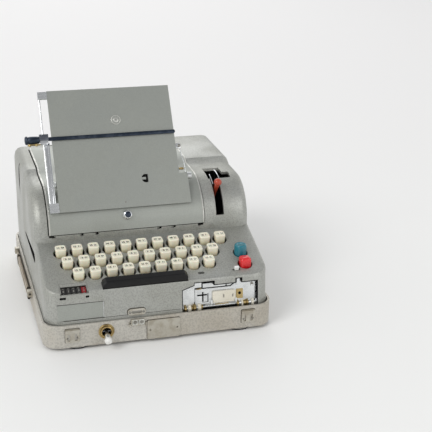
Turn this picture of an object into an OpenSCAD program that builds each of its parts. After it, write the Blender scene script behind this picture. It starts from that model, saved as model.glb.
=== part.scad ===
// Keyboard cipher machine: a cast casing on a shallow tray, three rows of keys,
// a hinged lid over the rotor drum, a folding document plate and a tape reader.
// Millimetres, +Z up, front towards -Y, origin under the middle of the whole machine.

/* [Tray] */
// Width of the base tray, side to side
tray_w = 282; // [272:1:296]
// Depth of the base tray, front to back
tray_d = 310; // [300:1:322]
// Height of the tray's wall, from its underside
tray_h = 28.8; // [27:0.2:32]
// Plan radius of the tray's corners
tray_corner = 20; // [17:0.5:24]
// Thickness of the tray's upper wall
tray_wall = 2.5; // [2:0.1:3]
// Thickness of the tray's floor
tray_floor = 2.5; // [2:0.1:3.5]
// Height of the ledge that carries the casing, above the tray's underside
ledge_h = 20.8; // [19.5:0.1:22]
// Width of that ledge
ledge_w = 3; // [2.6:0.1:3.4]
// Diameter of a foot
foot_d = 34; // [28:1:36]
// Height of a foot
foot_h = 4.2; // [3:0.1:6]
// Middle of a foot from the tray's side
foot_in_x = 41; // [34:1:60]
// Middle of a foot from the tray's front or back
foot_in_y = 18.5; // [18.5:0.5:40]

/* [Tray fittings] */
// Width of the plate in the middle of the tray's front
front_plate_w = 40.3; // [36:0.1:44]
// Height of that plate
front_plate_h = 24.8; // [22:0.1:26]
// Thickness of that plate
front_plate_t = 1.5; // [1:0.1:2]
// Middle of that plate from the machine's middle
front_plate_x = 1.75; // [0:0.25:4]
// Diameter of the holes in that plate
front_plate_hole = 2.6; // [2:0.1:3.2]
// Distance between those holes
front_plate_holes = 33; // [28:0.5:34]
// Middle of each front lug from the tray's side
lug_in = 33; // [29:1:41]
// Width of a front lug
lug_w = 17; // [14:0.5:20]
// Height of a front lug
lug_h = 17.5; // [15:0.5:19]
// Thickness of a front lug
lug_t = 1.5; // [1:0.1:2]
// Width of the front catch
catch_w = 17; // [15:0.5:18]
// Height of the front catch
catch_h = 8.8; // [8:0.1:11]
// Thickness of the front catch
catch_t = 2; // [1.5:0.1:2.5]
// Middle of the catch and its keeper from the machine's middle
catch_x = -30; // [-33:0.5:-29.5]
// Width of the oval keeper plate over the catch
keeper_w = 22; // [18:0.5:24]
// Height of that keeper plate
keeper_h = 8.2; // [7:0.1:9]
// Thickness of that keeper plate
keeper_t = 2; // [1.5:0.1:2.5]

/* [Carry handle] */
// Rear lug of the carry handle from the tray's rear
handle_rear_in = 60; // [50:1:70]
// Front lug of the carry handle from the tray's front
handle_front_in = 110; // [100:1:120]
// How far a handle lug stands out from the tray's side
handle_out = 6; // [5.5:0.1:7]
// Height of the strap
strap_h = 14; // [12:0.5:16]
// Thickness of the strap
strap_t = 3; // [2.5:0.1:3.4]
// Diameter of the pins on the strap's ends
strap_pin_d = 3; // [2.5:0.1:3.2]

/* [Toggle switch] */
// Middle of the switch from the machine's middle
switch_x = -67.5; // [-75:0.5:-60]
// Height of the switch above the tray's underside
switch_up = 16.3; // [15:0.1:17]
// Diameter of the collar's flange
collar_d = 19; // [18:0.1:20]
// Diameter of the collar's barrel
collar_barrel_d = 15; // [14.6:0.1:15.6]
// Diameter of the collar's mouth
collar_mouth_d = 11; // [10.8:0.1:11.4]
// How far the flange stands out
collar_t = 2.5; // [2:0.1:3]
// Depth of the lever's pivot behind the tray's front
switch_in = 1; // [0.8:0.1:1.4]
// Length of the lever from pivot to the middle of its ball
switch_len = 13.9; // [13:0.1:16]
// Diameter of the ball on the lever
switch_ball_d = 10; // [8:0.2:11]
// Angle of the lever below the horizontal
switch_droop = 25.5; // [22:0.5:26]

/* [Casing] */
// Thickness of the casing's wall
casing_wall = 3.5; // [3:0.1:4]
// Gap between the casing's foot and the tray's wall
seat_gap = 1.5; // [1.2:0.1:1.8]
// Plan radius of the casing's corners
casing_corner = 20; // [18:0.5:24]
// Height of the bead round the casing's foot
bead_h = 4.5; // [3:0.1:5]
// How far that bead starts below the tray's rim
bead_down = 2; // [1.5:0.1:2.5]
// How far that bead stands out
bead_out = 0.8; // [0.5:0.1:1]
// How far the front apron leans back from foot to crease
apron_lean = 4; // [2:0.5:6]
// Height of the crease between apron and key deck above the tray's rim
apron_rise = 38.75; // [37:0.25:41]
// Rounding of the crease and of the deck's side edges
crease_r = 4.5; // [3.5:0.5:6]
// Slope of the key deck
deck_slope = 18.1; // [16.5:0.1:19.5]
// Front face of the rotor hump behind the tray's front
hump_in = 94; // [92:0.5:96]
// Radius of the hump's round front
hump_r = 52; // [50:0.5:54]
// Height of the middle of that round front above the tray's rim
hump_axis_up = 73; // [70:0.5:75]
// Rounding of the hump's side edges
edge_r = 10; // [8:0.5:12]
// Start of the step in the top behind the hump's axis
step_back = 37; // [29:1:45]
// Length of the slanted face of that step
step_len = 10; // [8:0.5:14]
// Rise of that step
step_rise = 5; // [3:0.5:7]
// Rounding of the casing's rear edge
rear_r = 20; // [16:1:24]
// Length of the long opening in the casing's left side
side_slot_len = 100; // [90:1:110]
// Height of that opening at its round front end
side_slot_h = 13; // [10:0.5:14]
// Height of that opening at its rear end
side_slot_end = 3; // [2:0.2:5]
// Middle of its front end above the tray's rim
side_slot_up = 46; // [43:0.5:48]
// Fall of its rear end below the front one
side_slot_fall = 3; // [1:0.5:5]
// Rear end of that opening from the casing's rear
side_slot_in = 111; // [106:1:116]
// Outer radius of the crescent opening in the casing's left side
crescent_r = 28.5; // [26:0.5:30]
// Width of the crescent at its middle
crescent_w = 11; // [8:0.5:12]
// Centre of its outer edge from the casing's rear
crescent_in = 86; // [82:1:90]
// Centre of its outer edge below the casing's top
crescent_down = 29; // [28:0.5:32]

/* [Keys] */
// Number of keys in each row, from the rear row to the front row
row_counts = [11, 10, 9]; // [9:1:11]
// First key of each row, from the first key of the rear row
row_offsets = [0, 5, 15]; // [0:0.5:16]
// Middle of the first key of the rear row
first_key_x = -108.3; // [-112:0.1:-105]
// Distance between keys along a row
key_pitch = 20; // [19:0.1:20.4]
// Distance between rows
row_pitch = 20.2; // [19.4:0.1:20.4]
// Rear row from the hump's front face
row_gap = 20.2; // [18:0.1:22]
// Width of a key cap
cap_w = 13.2; // [12:0.1:14]
// Depth of a key cap
cap_d = 12.5; // [11:0.1:13.5]
// Height of a key cap
cap_h = 15; // [13.5:0.5:17]
// Corner radius of a key cap
cap_corner = 3; // [1.5:0.1:5]
// Height of a key's top above the deck
cap_rise = 8.8; // [7:0.1:10]
// Diameter of the hole round a key
key_hole_d = 18.3; // [17.8:0.1:19]
// Diameter of a key's stem
stem_d = 4; // [3:0.1:5]
// Travel of a key
key_travel = 4.5; // [3:0.1:5]
// Middle of the start and stop keys from the casing's side
side_key_in = 26.2; // [24:0.1:27]
// Start key along the deck from the crease
start_u = 40.3; // [39:0.1:43]
// Stop key along the deck from the crease
stop_u = 19.6; // [18:0.1:20.4]
// Diameter of the start key
start_d = 15.5; // [14:0.1:16.5]
// Height of the start key's top above the deck
start_rise = 11.7; // [9:0.1:12.5]
// Side of the stop key
stop_w = 13.4; // [12:0.1:14]
// Height of the stop key's top above the deck
stop_rise = 9.5; // [8:0.1:11]
// Middle of the space bar from the machine's middle
bar_x = -17.3; // [-20:0.1:-14]
// Length of the space bar
bar_w = 103; // [96:0.5:108]
// Depth of the space bar
bar_d = 11.5; // [10.5:0.1:12]
// Height of the space bar above the deck
bar_rise = 9; // [7:0.1:10]
// Front of the space bar along the deck from the crease
bar_u = 0.7; // [0.6:0.1:1.2]
// Distance of each of the bar's stems from its middle
bar_stem_x = 34; // [28:0.5:38]

/* [Deck fittings] */
// Middle of the slide switch from the casing's side
slide_in = 39.7; // [39:0.1:42]
// Slide switch along the deck from the crease
slide_u = 10.7; // [9:0.1:12]
// Length of the slide switch's slot
slide_slot_w = 10.3; // [9:0.1:11]
// Width of that slot
slide_slot_d = 3; // [2.6:0.1:3.4]
// Width of the slide switch's knob
slide_knob_w = 5.5; // [4.5:0.1:6]
// Travel of the slide switch each way
slide_travel = 2.8; // [2:0.1:2.9]
// Middle of the oval sight hole from the machine's middle
sight_x = 52.9; // [48:0.1:56]
// Sight hole along the deck from the crease
sight_u = 10.8; // [9:0.1:12]
// Length of the sight hole
sight_w = 8.2; // [7:0.1:9]
// Width of the sight hole
sight_d = 3.8; // [3:0.1:4.5]
// Middle of the counter's window from the casing's side
counter_in = 34.2; // [33:0.1:36]
// Width of the counter's window
counter_w = 33.5; // [31:0.1:35]
// Rear edge of the counter's window along the deck
counter_u = 15.3; // [14.8:0.1:16]
// Depth of the window's front edge below the deck
counter_lip = 3.2; // [2.5:0.1:4]
// Number of counter wheels
counter_count = 5; // [4:1:6]
// Radius of a counter wheel
counter_r = 6.6; // [6:0.1:7]
// Width of the bare recess in the apron
recess_w = 55.5; // [50:0.5:58]
// Height of that recess up the apron
recess_h = 21; // [18:0.5:24]
// Middle of that recess from the casing's side
recess_in = 40.5; // [39:0.5:43]
// Depth of that recess
recess_t = 0.8; // [0.5:0.1:1.2]

/* [Rotor lid] */
// Left edge of the lid from the casing's side
lid_in_left = 18; // [15:0.5:21]
// Right edge of the lid from the casing's side
lid_in_right = 60; // [58:0.5:64]
// Height of the lid's lower edge above the hump's axis
lid_start_up = 4; // [2:0.5:8]
// Rear edge of the lid from the tray's rear
lid_rear_in = 37; // [33:1:45]
// How far the lid stands out of the casing
lid_proud = 2; // [1.5:0.1:2.5]
// How far the lid sinks into the casing
lid_sunk = 0.8; // [0.6:0.1:1.2]
// Gap round the lid's edge
lid_gap = 1.2; // [0.6:0.1:1.5]
// Width of the casing's ledge under the lid's edge
lid_seat = 5; // [4:0.1:6]
// Hinge axis behind the lid's rear edge
lid_hinge_back = 6; // [5.5:0.1:7]
// Hinge axis below the top of the casing
lid_hinge_down = 4; // [3.8:0.1:4.5]
// Diameter of the hinge's barrel
barrel_d = 7; // [6.5:0.1:7.6]
// Diameter of the hinge's pin
pin_d = 4; // [3.5:0.1:4.4]
// Width of a lid knuckle
knuckle_w = 24; // [20:1:28]
// Middle of each knuckle from the middle of the lid
knuckle_x = 60; // [50:1:70]
// Height of the lid's knob above the hump's axis
knob_up = 21.5; // [20:0.5:24]
// Diameter of the lid's knob
knob_d = 10.6; // [9:0.1:12]
// Height of the lid's knob
knob_h = 5.5; // [4.5:0.1:7]

/* [Document plate] */
// Lower edge of the plate's front face behind the hump's front face
plate_in = 2.9; // [1.5:0.1:3.5]
// Height of that edge above the hump's axis
plate_up = 31; // [30.5:0.1:33]
// Slope of the plate when it is raised
plate_slope = 57; // [55:0.5:60]
// Left edge of the plate from the lid's left edge
plate_in_left = 14.5; // [13:0.1:15.5]
// Right edge of the plate from the lid's right edge
plate_in_right = 26.7; // [24:0.1:30]
// Length of the plate
plate_len = 155; // [150:1:158]
// Thickness of the plate
plate_t = 2; // [1.6:0.1:2.4]
// Width of the ear at the plate's lower right
ear_w = 10.5; // [9:0.1:12]
// Length of that ear
ear_len = 39; // [34:0.5:44]
// Pivot of the plate along its slope
pivot_u = 36; // [33:0.5:38]
// Depth of the pivot behind the plate's front face
pivot_back = 6; // [5.5:0.1:7]
// Diameter of the pivot screws
screw_d = 3; // [2.6:0.1:3.4]
// Thickness of the plate's tabs and of the lid's ears
tab_t = 2.5; // [2:0.1:3]
// Diameter of the knurled head on the right pivot screw
screw_head_d = 9; // [8:0.1:10]
// Length of that head
screw_head_l = 5; // [4:0.1:6]
// Middle of the boss from the plate's left edge
boss_x = 82.5; // [76:0.5:88]
// Middle of the boss along the plate
boss_u = 113; // [108:0.5:118]
// Diameter of the boss
boss_d = 12; // [10:0.1:13]
// Middle of the window with the tongue from the plate's left edge
window_x = 111.5; // [106:0.5:116]
// Middle of that window along the plate
window_u = 35.3; // [32:0.1:38]
// Diameter of that window
window_d = 11; // [10:0.1:12]

/* [Ruler] */
// Rail from the plate's left edge
rail_out = 10.1; // [9.6:0.1:11]
// Diameter of the rail
rail_d = 2.6; // [2.2:0.1:3]
// Length of the rail's lower bracket
foot_bracket_len = 12; // [10:0.5:14]
// Length of the rail's upper bracket
top_bracket_len = 9; // [8:0.5:11]
// Ruler along the plate
ruler_u = 93; // [80:0.5:110]
// Width of the ruler's bar
ruler_d = 4; // [3.2:0.1:5]
// Thickness of the ruler's bar
ruler_t = 1.4; // [1:0.1:1.8]
// How far the ruler's bar reaches past the plate's right edge
ruler_past = 1.2; // [0.5:0.1:4]
// Length of the ruler's clamp along the rail
clamp_len = 12; // [10:0.5:14]
// Width of the ruler's clamp
clamp_w = 11; // [9:0.1:12]
// Thickness of the ruler's clamp
clamp_t = 7.5; // [7:0.1:8]
// How far the clamp reaches behind the plate's front face
clamp_back = 3.5; // [3:0.1:4]
// How far the clamp reaches out past the rail's axis
clamp_out = 5; // [4:0.1:6]
// Diameter of the ruler's grip
grip_d = 9.5; // [8:0.1:10.5]
// Length of the ruler's grip
grip_len = 17.7; // [15:0.1:18.5]

/* [Mode lever] */
// Middle of the lever from the casing's side
lever_in = 38.2; // [37.6:0.1:39]
// Length of the lever from its pivot to the middle of its ball
lever_len = 61.6; // [60:0.1:64]
// Forward angle of the lever from the vertical
lever_angle = 35.8; // [30:0.1:40]
// Diameter of the lever's ball
lever_ball_d = 10; // [8:0.1:11]
// Diameter of the lever's shank
lever_d = 6; // [5:0.1:6.6]
// Width of the slot that the lever swings in
slot_w = 10.5; // [10:0.1:11]
// Rear end of that slot behind the hump's axis
slot_rear = 13; // [12:0.5:15]
// Width of the slot's wider rear part
slot_wide_w = 22; // [20:0.5:23]
// Width of the ear beside that wider part
slot_ear_w = 9; // [7:0.5:9.5]
// Lower end of that slot above the hump's axis
slot_up = 11; // [9.5:0.5:12]

/* [Tape reader] */
// Right edge of the reader's opening from the casing's side
reader_in = 15; // [13:0.5:17]
// Width of the reader's opening
reader_w = 96; // [94:0.5:97]
// Height of the reader's opening, up the apron
reader_h = 30.6; // [29:0.1:32]
// Depth of the reader's plate behind the apron's face
reader_depth = 7; // [6.5:0.1:8]
// Thickness of the reader's plate
reader_t = 2; // [1.5:0.1:2.5]
// Width of the raised pad at the plate's left
pad_left_w = 15; // [13:0.5:17]
// Width of the raised pad at the plate's right
pad_right_w = 14; // [12:0.5:16]
// Length and width of each arm of the cross-shaped window in the plate
cross_size = [13, 5]; // [4:0.5:14]
// Middle of that window from the opening's left edge
cross_x = 26.5; // [24:0.5:28]
// Middle of that window up the apron
cross_s = 16; // [14:0.5:18]
// Height of the opening's raised edge over the left half
step_left_h = 4.8; // [4:0.1:6]
// Height of the notch in the opening's upper edge
notch_h = 5.4; // [4:0.1:6]
// Width of that notch
notch_w = 9; // [8:0.1:10]
// Right edge of that notch from the opening's right edge
notch_in = 20; // [18:0.5:22]
// Left edge of the gate from the opening's left edge
gate_left = 39; // [38:0.5:40]
// Width of the gate
gate_w = 28; // [26:0.5:29]
// Height of the gate
gate_h = 17; // [15:0.5:18]
// Thickness of the gate
gate_t = 3; // [2.6:0.1:3.4]
// Diameter of a feed roller
roller_d = 9; // [8:0.1:9.4]
// Diameter of the rollers' shaft
shaft_d = 3; // [2.5:0.1:3.4]

/* [Inside] */
// Thickness of the chassis plates
chassis_t = 3; // [2.5:0.1:4]
// Left side plate of the chassis from the casing's side
side_in_left = 25; // [23:0.5:27]
// Right side plate of the chassis from the casing's side
side_in_right = 55; // [53:0.5:57]
// Diameter of the rotors' axle
axle_d = 8; // [7:0.1:9]
// Diameter of the axle's thin end, which carries the mode lever
axle_end_d = 6; // [5:0.1:6.4]
// Number of rotors
rotor_count = 10; // [8:1:10]
// Diameter of a rotor
rotor_d = 68; // [60:1:72]
// Width of a rotor
rotor_w = 15; // [12:0.5:16]
// Gap between rotors
rotor_gap = 0.6; // [0.4:0.1:1]
// Diameter of the drive motor
motor_d = 52; // [44:1:58]
// Length of the drive motor
motor_l = 92; // [80:1:110]

/* [Fits] */
// Radial clearance of a pin, stem or shaft in its bore
fit = 0.08; // [0.05:0.01:0.1]
// Gap between pieces that move past each other
clear = 0.4; // [0.35:0.01:0.5]

/* [Hidden] */
$fn = 48;
hull_fn = 24;
hump_steps = 12;
edge_steps = 6;
key_total = row_counts[0] + row_counts[1] + row_counts[2];

rim_z = foot_h + tray_h;
ledge_z = foot_h + ledge_h;
floor_z = foot_h + tray_floor;
casing_w = tray_w - 2 * (tray_wall + seat_gap);
casing_d = tray_d - 2 * (tray_wall + seat_gap);
half_w = casing_w / 2;
front_y = -casing_d / 2;
rear_y = casing_d / 2;
hump_front_y = -tray_d / 2 + hump_in;
hump_axis_z = rim_z + hump_axis_up;
crease_y = front_y + apron_lean;
crease_z = rim_z + apron_rise;
apron_tilt = atan2(apron_lean, apron_rise);
apron_len = norm([apron_lean, apron_rise]);
turn = 90 - apron_tilt - deck_slope;
deck_front_u = crease_r * tan(turn / 2) + casing_corner - crease_r;
deck_len = (hump_front_y - crease_y) / cos(deck_slope);
hump_y = hump_front_y + hump_r;
low_top = hump_axis_z + hump_r;
high_top = low_top + step_rise;
step_y = hump_y + step_back;
step_shift = tan(atan2(step_rise, step_len) / 2);

tray_front = -tray_d / 2;
switch_z = foot_h + switch_up;
switch_y = tray_front + switch_in;
switch_pin_d = 2.4;
collar_depth = tray_wall + seat_gap - 0.3;
switch_tip = switch_y - switch_len * cos(switch_droop) - switch_ball_d / 2;
centre_x = -handle_out / 2;
centre_y = (switch_tip + tray_d / 2) / 2;

lug_x = tray_w / 2 - lug_in;
lug_mid = foot_h + 7 + lug_h / 2;
handle_y_rear = tray_d / 2 - handle_rear_in;
handle_y_front = handle_front_in - tray_d / 2;
handle_pin_x = -(tray_w / 2 + handle_out / 2);
handle_pin_z = ledge_z + 2.8;
handle_lug_w = 7;
catch_pin_z = rim_z - catch_h + 1.6;
catch_pin_y = tray_front - clear - catch_t / 2 - 0.5;
catch_pin_d = 1.8;
catch_ear_w = 1.6;
keeper_s = bead_h - bead_down + keeper_h / 2 + 0.3;

side_key_x = half_w - side_key_in;
slide_x = half_w - slide_in;
counter_x = counter_in - half_w;
counter_axle_u = 7.6;
counter_axle_h = -counter_r - 2.4;
counter_axle_d = 3;
counter_cheek = 1.5;
recess_x = recess_in - half_w;

lid_w = casing_w - lid_in_left - lid_in_right;
lid_x = (lid_in_left - lid_in_right) / 2;
lid_left = lid_x - lid_w / 2;
lid_right = lid_x + lid_w / 2;
lid_rear_y = tray_d / 2 - lid_rear_in;
lid_hinge_y = lid_rear_y + lid_hinge_back;
lid_hinge_z = high_top - lid_hinge_down;
pocket_rear = lid_hinge_y + lid_hinge_back + lid_proud + lid_gap;
hinge_ear_t = 5;
hinge_ear_d = 11;
lid_start = asin(lid_start_up / (hump_r + lid_proud));
knob_angle = asin(knob_up / (hump_r + lid_proud));
seam_notch = 4;
seam_notches = [6 - lid_w / 2, -58, -39, 39, 57, lid_w / 2 - 6];

plate_y = hump_front_y + plate_in;
plate_z = hump_axis_z + plate_up;
plate_left = lid_left + plate_in_left;
plate_right = lid_right - plate_in_right;
plate_w = plate_right - plate_left;
pivot_y = plate_y + pivot_u * cos(plate_slope) + pivot_back * sin(plate_slope);
pivot_z = plate_z + pivot_u * sin(plate_slope) - pivot_back * cos(plate_slope);
ear_left_x = plate_left + tab_t + clear;
ear_right_x = plate_right + ear_w - 2 * tab_t - clear;
rail_x = plate_left - rail_out;
rail_h = -plate_t / 2;
boss_rise = 0.3;
ruler_lift = boss_rise + clear;
ruler_right = plate_right + ruler_past;
ruler_left = rail_x - clamp_out + clamp_w - 1;
grip_ring = 2;

guide_h = 20;
guide_front = 4;
guide_rear = 82;
guide_drop = (guide_h + chassis_t) / cos(deck_slope);
side_plate_d = 80;
post_d = 7;
side_left = side_in_left - half_w;
side_right = half_w - side_in_right;

drum_w = rotor_count * rotor_w + (rotor_count - 1) * rotor_gap;
drum_left = (side_left + chassis_t + side_right - drum_w) / 2;
lever_hub_d = axle_end_d + 8;
lever_hub_w = 8;
lever_x = half_w - lever_in;
slot_rear_y = hump_y + slot_rear;

reader_left = half_w - reader_in - reader_w;
reader_right = reader_left + reader_w;
reader_leg = [8, 4];
pad_s = 8.4;
pad_t = 1.5;
gate_x = reader_left + gate_left;
gate_pivot_s = 6.5;
gate_pivot_h = -reader_depth + 3.2;
gate_pin_d = 2;
gate_ear_t = 2;
roller_s = 1.5;
roller_h = -5.6;
cheek_t = 2.5;

// Outline of the tape reader's opening, across and up the apron
reader_outline = [
    [0, -3], [reader_w, -3], [reader_w, reader_h], [reader_w - notch_in, reader_h],
    [reader_w - notch_in, reader_h + notch_h], [reader_w - notch_in - notch_w, reader_h + notch_h],
    [reader_w - notch_in - notch_w, reader_h], [gate_left + 2, reader_h],
    [gate_left + 2, reader_h + step_left_h], [pad_left_w, reader_h + step_left_h],
    [pad_left_w, reader_h + 1.5], [0, reader_h - 3.3]];

function key_name(i) = str("key_", i < 10 ? "0" : "", i);

// Points of an arc in the plane of a profile
function arc(cy, cz, r, from, to, steps) =
    [for (i = [0:steps])
        let (a = from + (to - from) * i / steps)
        [cy + r * cos(a), cz + r * sin(a)]];

// Point where the line through p along u meets the line through q along v
function meet(p, u, q, v) = p + u * (cross(q - p, v) / cross(u, v));

function deck_z(y) = crease_z + (y - crease_y) * tan(deck_slope);
function deck_y(u) = crease_y + u * cos(deck_slope);
function row_y(row) = hump_front_y - row_gap - row * row_pitch;

// Row and place in the row of key number i, counted from 0 at the rear left
function key_row(i) = i < row_counts[0] ? 0 : i < row_counts[0] + row_counts[1] ? 1 : 2;
function row_start(row) = row == 0 ? 0 : row_start(row - 1) + row_counts[row - 1];
function key_x(i) =
    let (row = key_row(i))
    first_key_x + row_offsets[row] + (i - row_start(row)) * key_pitch;

// Side profile of the casing, t inside its outer face
function apron_line(t) = [front_y + t * cos(apron_tilt), rim_z - t * sin(apron_tilt)];
function apron_dir() = [sin(apron_tilt), cos(apron_tilt)];
function deck_line(t) = [crease_y + t * sin(deck_slope), crease_z - t * cos(deck_slope)];
function deck_dir() = [cos(deck_slope), sin(deck_slope)];
function top_path(t) = concat(
    arc(hump_y, hump_axis_z, hump_r - t, 180, 90, hump_steps),
    [[step_y + step_shift * t, low_top - t], [step_y + step_len + step_shift * t, high_top - t]]);
function shell_profile(t) = concat(
    [[front_y + t, ledge_z - 1],
     meet([front_y + t, 0], [0, 1], apron_line(t), apron_dir()),
     meet(apron_line(t), apron_dir(), deck_line(t), deck_dir()),
     meet([hump_front_y + t, 0], [0, 1], deck_line(t), deck_dir())],
    top_path(t),
    arc(rear_y - rear_r, high_top - rear_r, rear_r - t, 90, 0, 6),
    [[rear_y - t, ledge_z - 1]]);

// Top of the lid's path, d outside the casing's face
function lid_path(d, start, rear) = concat(
    arc(hump_y, hump_axis_z, hump_r + d, 180 - start, 90, hump_steps),
    [[step_y - step_shift * d, low_top + d], [step_y + step_len - step_shift * d, high_top + d],
     [rear, high_top + d]]);
function reversed(list) = [for (i = [len(list) - 1:-1:0]) list[i]];

module machine() translate([-centre_x, -centre_y, 0]) children();

module on_deck(x, u, h = 0)
    translate([0, crease_y, crease_z]) rotate([deck_slope, 0, 0]) translate([x, u, h]) children();

module on_apron(x, s, h = 0)
    translate([0, front_y, rim_z]) rotate([90 - apron_tilt, 0, 0]) translate([x, s, h]) children();

module on_plate(x, u, h = 0)
    translate([0, plate_y, plate_z]) rotate([plate_slope, 0, 0]) translate([x, u, h]) children();

// Extrusion along X of a profile in the YZ plane, centred on x
module across(x, w)
    translate([x, 0, 0]) rotate([90, 0, 90]) linear_extrude(w, center = true) children();

module rod_x(d, x0, x1) translate([x0, 0, 0]) rotate([0, 90, 0]) cylinder(d = d, h = x1 - x0);

module rounded_rect(w, d, r) {
    square([w - 2 * r, d], center = true);
    square([w, d - 2 * r], center = true);
    for (sx = [-1, 1], sy = [-1, 1]) translate([sx * (w / 2 - r), sy * (d / 2 - r)]) circle(r);
}

module oval(w, d) {
    square([w - d, d], center = true);
    for (s = [-1, 1]) translate([s * (w - d) / 2, 0]) circle(d = d);
}

// Disc of radius r with a full round edge of radius e
module round_disc(r, e)
    rotate_extrude($fn = 4 * hump_steps)
        polygon(concat([[0, -e]], arc(r - e, 0, e, -90, 90, edge_steps), [[0, e]]));

module base_tray() machine() color([0.68, 0.67, 0.63]) difference() {
    translate([0, 0, foot_h]) linear_extrude(tray_h) rounded_rect(tray_w, tray_d, tray_corner);
    translate([0, 0, ledge_z]) linear_extrude(tray_h)
        rounded_rect(tray_w - 2 * tray_wall, tray_d - 2 * tray_wall, tray_corner - tray_wall);
    translate([0, 0, floor_z]) linear_extrude(tray_h)
        rounded_rect(tray_w - 2 * (tray_wall + ledge_w), tray_d - 2 * (tray_wall + ledge_w),
            tray_corner - tray_wall - ledge_w);
    translate([switch_x, tray_front - 1, switch_z]) rotate([-90, 0, 0])
        cylinder(d = collar_barrel_d + 2 * fit, h = tray_wall + ledge_w + 2);
}

module tray_feet() machine() color([0.13, 0.13, 0.13])
    for (sx = [-1, 1], sy = [-1, 1])
        translate([sx * (tray_w / 2 - foot_in_x), sy * (tray_d / 2 - foot_in_y), 0]) {
            cylinder(d1 = foot_d - 2, d2 = foot_d, h = 1);
            translate([0, 0, 1]) cylinder(d = foot_d, h = foot_h - 1);
        }

module front_plate() machine() color([0.66, 0.65, 0.61])
    translate([front_plate_x, tray_front, foot_h + front_plate_h / 2]) rotate([90, 0, 0])
        linear_extrude(front_plate_t) difference() {
            rounded_rect(front_plate_w, front_plate_h, 2);
            for (s = [-1, 1]) translate([s * front_plate_holes / 2, 0]) circle(d = front_plate_hole);
        }

module front_lug() {
    rotate([90, 0, 0]) linear_extrude(lug_t) difference() {
        rounded_rect(lug_w, lug_h, 1.5);
        for (s = [-1, 1]) translate([s * lug_w / 4, -lug_h / 8]) rounded_rect(lug_w / 5, lug_h / 2, 1);
    }
    translate([-lug_w / 2, -2 * lug_t, lug_h / 2 - 4]) cube([lug_w, 2 * lug_t, 3]);
}

// Lug on the tray's side with the bore for one pin of the carry handle
module handle_lug(y)
    translate([-tray_w / 2 - handle_out, y - handle_lug_w / 2, handle_pin_z - 4]) difference() {
        cube([handle_out, handle_lug_w, 8]);
        translate([handle_out / 2, -1, 4]) rotate([-90, 0, 0])
            cylinder(d = strap_pin_d + 2 * fit, h = handle_lug_w + 2);
    }

// Ear on the tray's front with the bore for one end of the catch's pin
module catch_ear(side)
    translate([catch_x + side * (catch_w / 2 + clear + catch_ear_w / 2), 0, catch_pin_z]) difference() {
        translate([-catch_ear_w / 2, catch_pin_y - 1.8, -2])
            cube([catch_ear_w, tray_front - catch_pin_y + 1.8, 4]);
        translate([0, catch_pin_y, 0]) rod_x(catch_pin_d + 2 * fit, -catch_ear_w, catch_ear_w);
    }

module tray_lugs() machine() color([0.62, 0.61, 0.58]) {
    for (s = [-1, 1]) translate([s * lug_x, tray_front, lug_mid]) front_lug();
    for (y = [handle_y_front, handle_y_rear]) handle_lug(y);
    for (s = [-1, 1]) catch_ear(s);
}

module front_catch() machine() color([0.6, 0.59, 0.56])
    translate([catch_x, catch_pin_y, catch_pin_z]) {
        pin_half = catch_w / 2 + clear + catch_ear_w - 0.2;
        rod_x(3, -catch_w / 2, catch_w / 2);
        rod_x(catch_pin_d, -pin_half, pin_half);
        translate([-catch_w / 2, -catch_t / 2, 0]) cube([catch_w, catch_t, catch_h - 1.6]);
    }

module catch_keeper() machine() color([0.62, 0.62, 0.6])
    on_apron(catch_x, keeper_s) linear_extrude(keeper_t) difference() {
        oval(keeper_w, keeper_h);
        oval(keeper_w - 9, keeper_h - 5);
    }

module carry_handle() machine() color([0.35, 0.24, 0.16]) {
    y0 = handle_y_front + handle_lug_w / 2 + clear;
    y1 = handle_y_rear - handle_lug_w / 2 - clear;
    translate([handle_pin_x, 0, handle_pin_z]) {
        translate([0, y0, 0]) rotate([-90, 0, 0]) cylinder(d = strap_t, h = y1 - y0);
        translate([0, y0 - 5, 0]) rotate([-90, 0, 0]) cylinder(d = strap_pin_d, h = y1 - y0 + 10);
        translate([-strap_t / 2, y0, -strap_h + strap_t]) cube([strap_t, y1 - y0, strap_h - strap_t]);
    }
}

module switch_collar() machine() color([0.72, 0.55, 0.28])
    translate([switch_x, tray_front, switch_z]) difference() {
        union() {
            rotate([90, 0, 0]) cylinder(d = collar_d, h = collar_t);
            rotate([-90, 0, 0]) cylinder(d = collar_barrel_d, h = collar_depth);
        }
        translate([0, collar_depth + 1, 0]) rotate([90, 0, 0])
            cylinder(d = collar_mouth_d, h = collar_depth + collar_t + 2);
        translate([0, switch_in, 0])
            rod_x(switch_pin_d + 2 * fit, -collar_barrel_d / 2 - 1, collar_barrel_d / 2 + 1);
    }

module switch_lever() machine() color([0.9, 0.89, 0.86])
    translate([switch_x, switch_y, switch_z]) {
        rod_x(switch_pin_d, -collar_barrel_d / 2 + 0.2, collar_barrel_d / 2 - 0.2);
        rotate([90 + switch_droop, 0, 0]) {
            cylinder(d = 3.4, h = switch_len);
            translate([0, 0, switch_len]) sphere(d = switch_ball_d);
        }
    }

// Rotor hump up to the height in front of the step
module hump_form() hull() {
    for (s = [-1, 1]) {
        translate([s * (half_w - edge_r), hump_y, hump_axis_z]) rotate([0, 90, 0])
            round_disc(hump_r, edge_r);
        translate([s * (half_w - edge_r), rear_y - rear_r, low_top - rear_r]) rotate([0, 90, 0])
            round_disc(rear_r, edge_r);
        translate([s * (half_w - casing_corner), rear_y - casing_corner, ledge_z])
            cylinder(r = casing_corner, h = 10, $fn = hull_fn * 2);
        translate([s * (half_w - edge_r), hump_front_y + edge_r, ledge_z])
            cylinder(r = edge_r, h = 10, $fn = hull_fn);
    }
}

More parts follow.
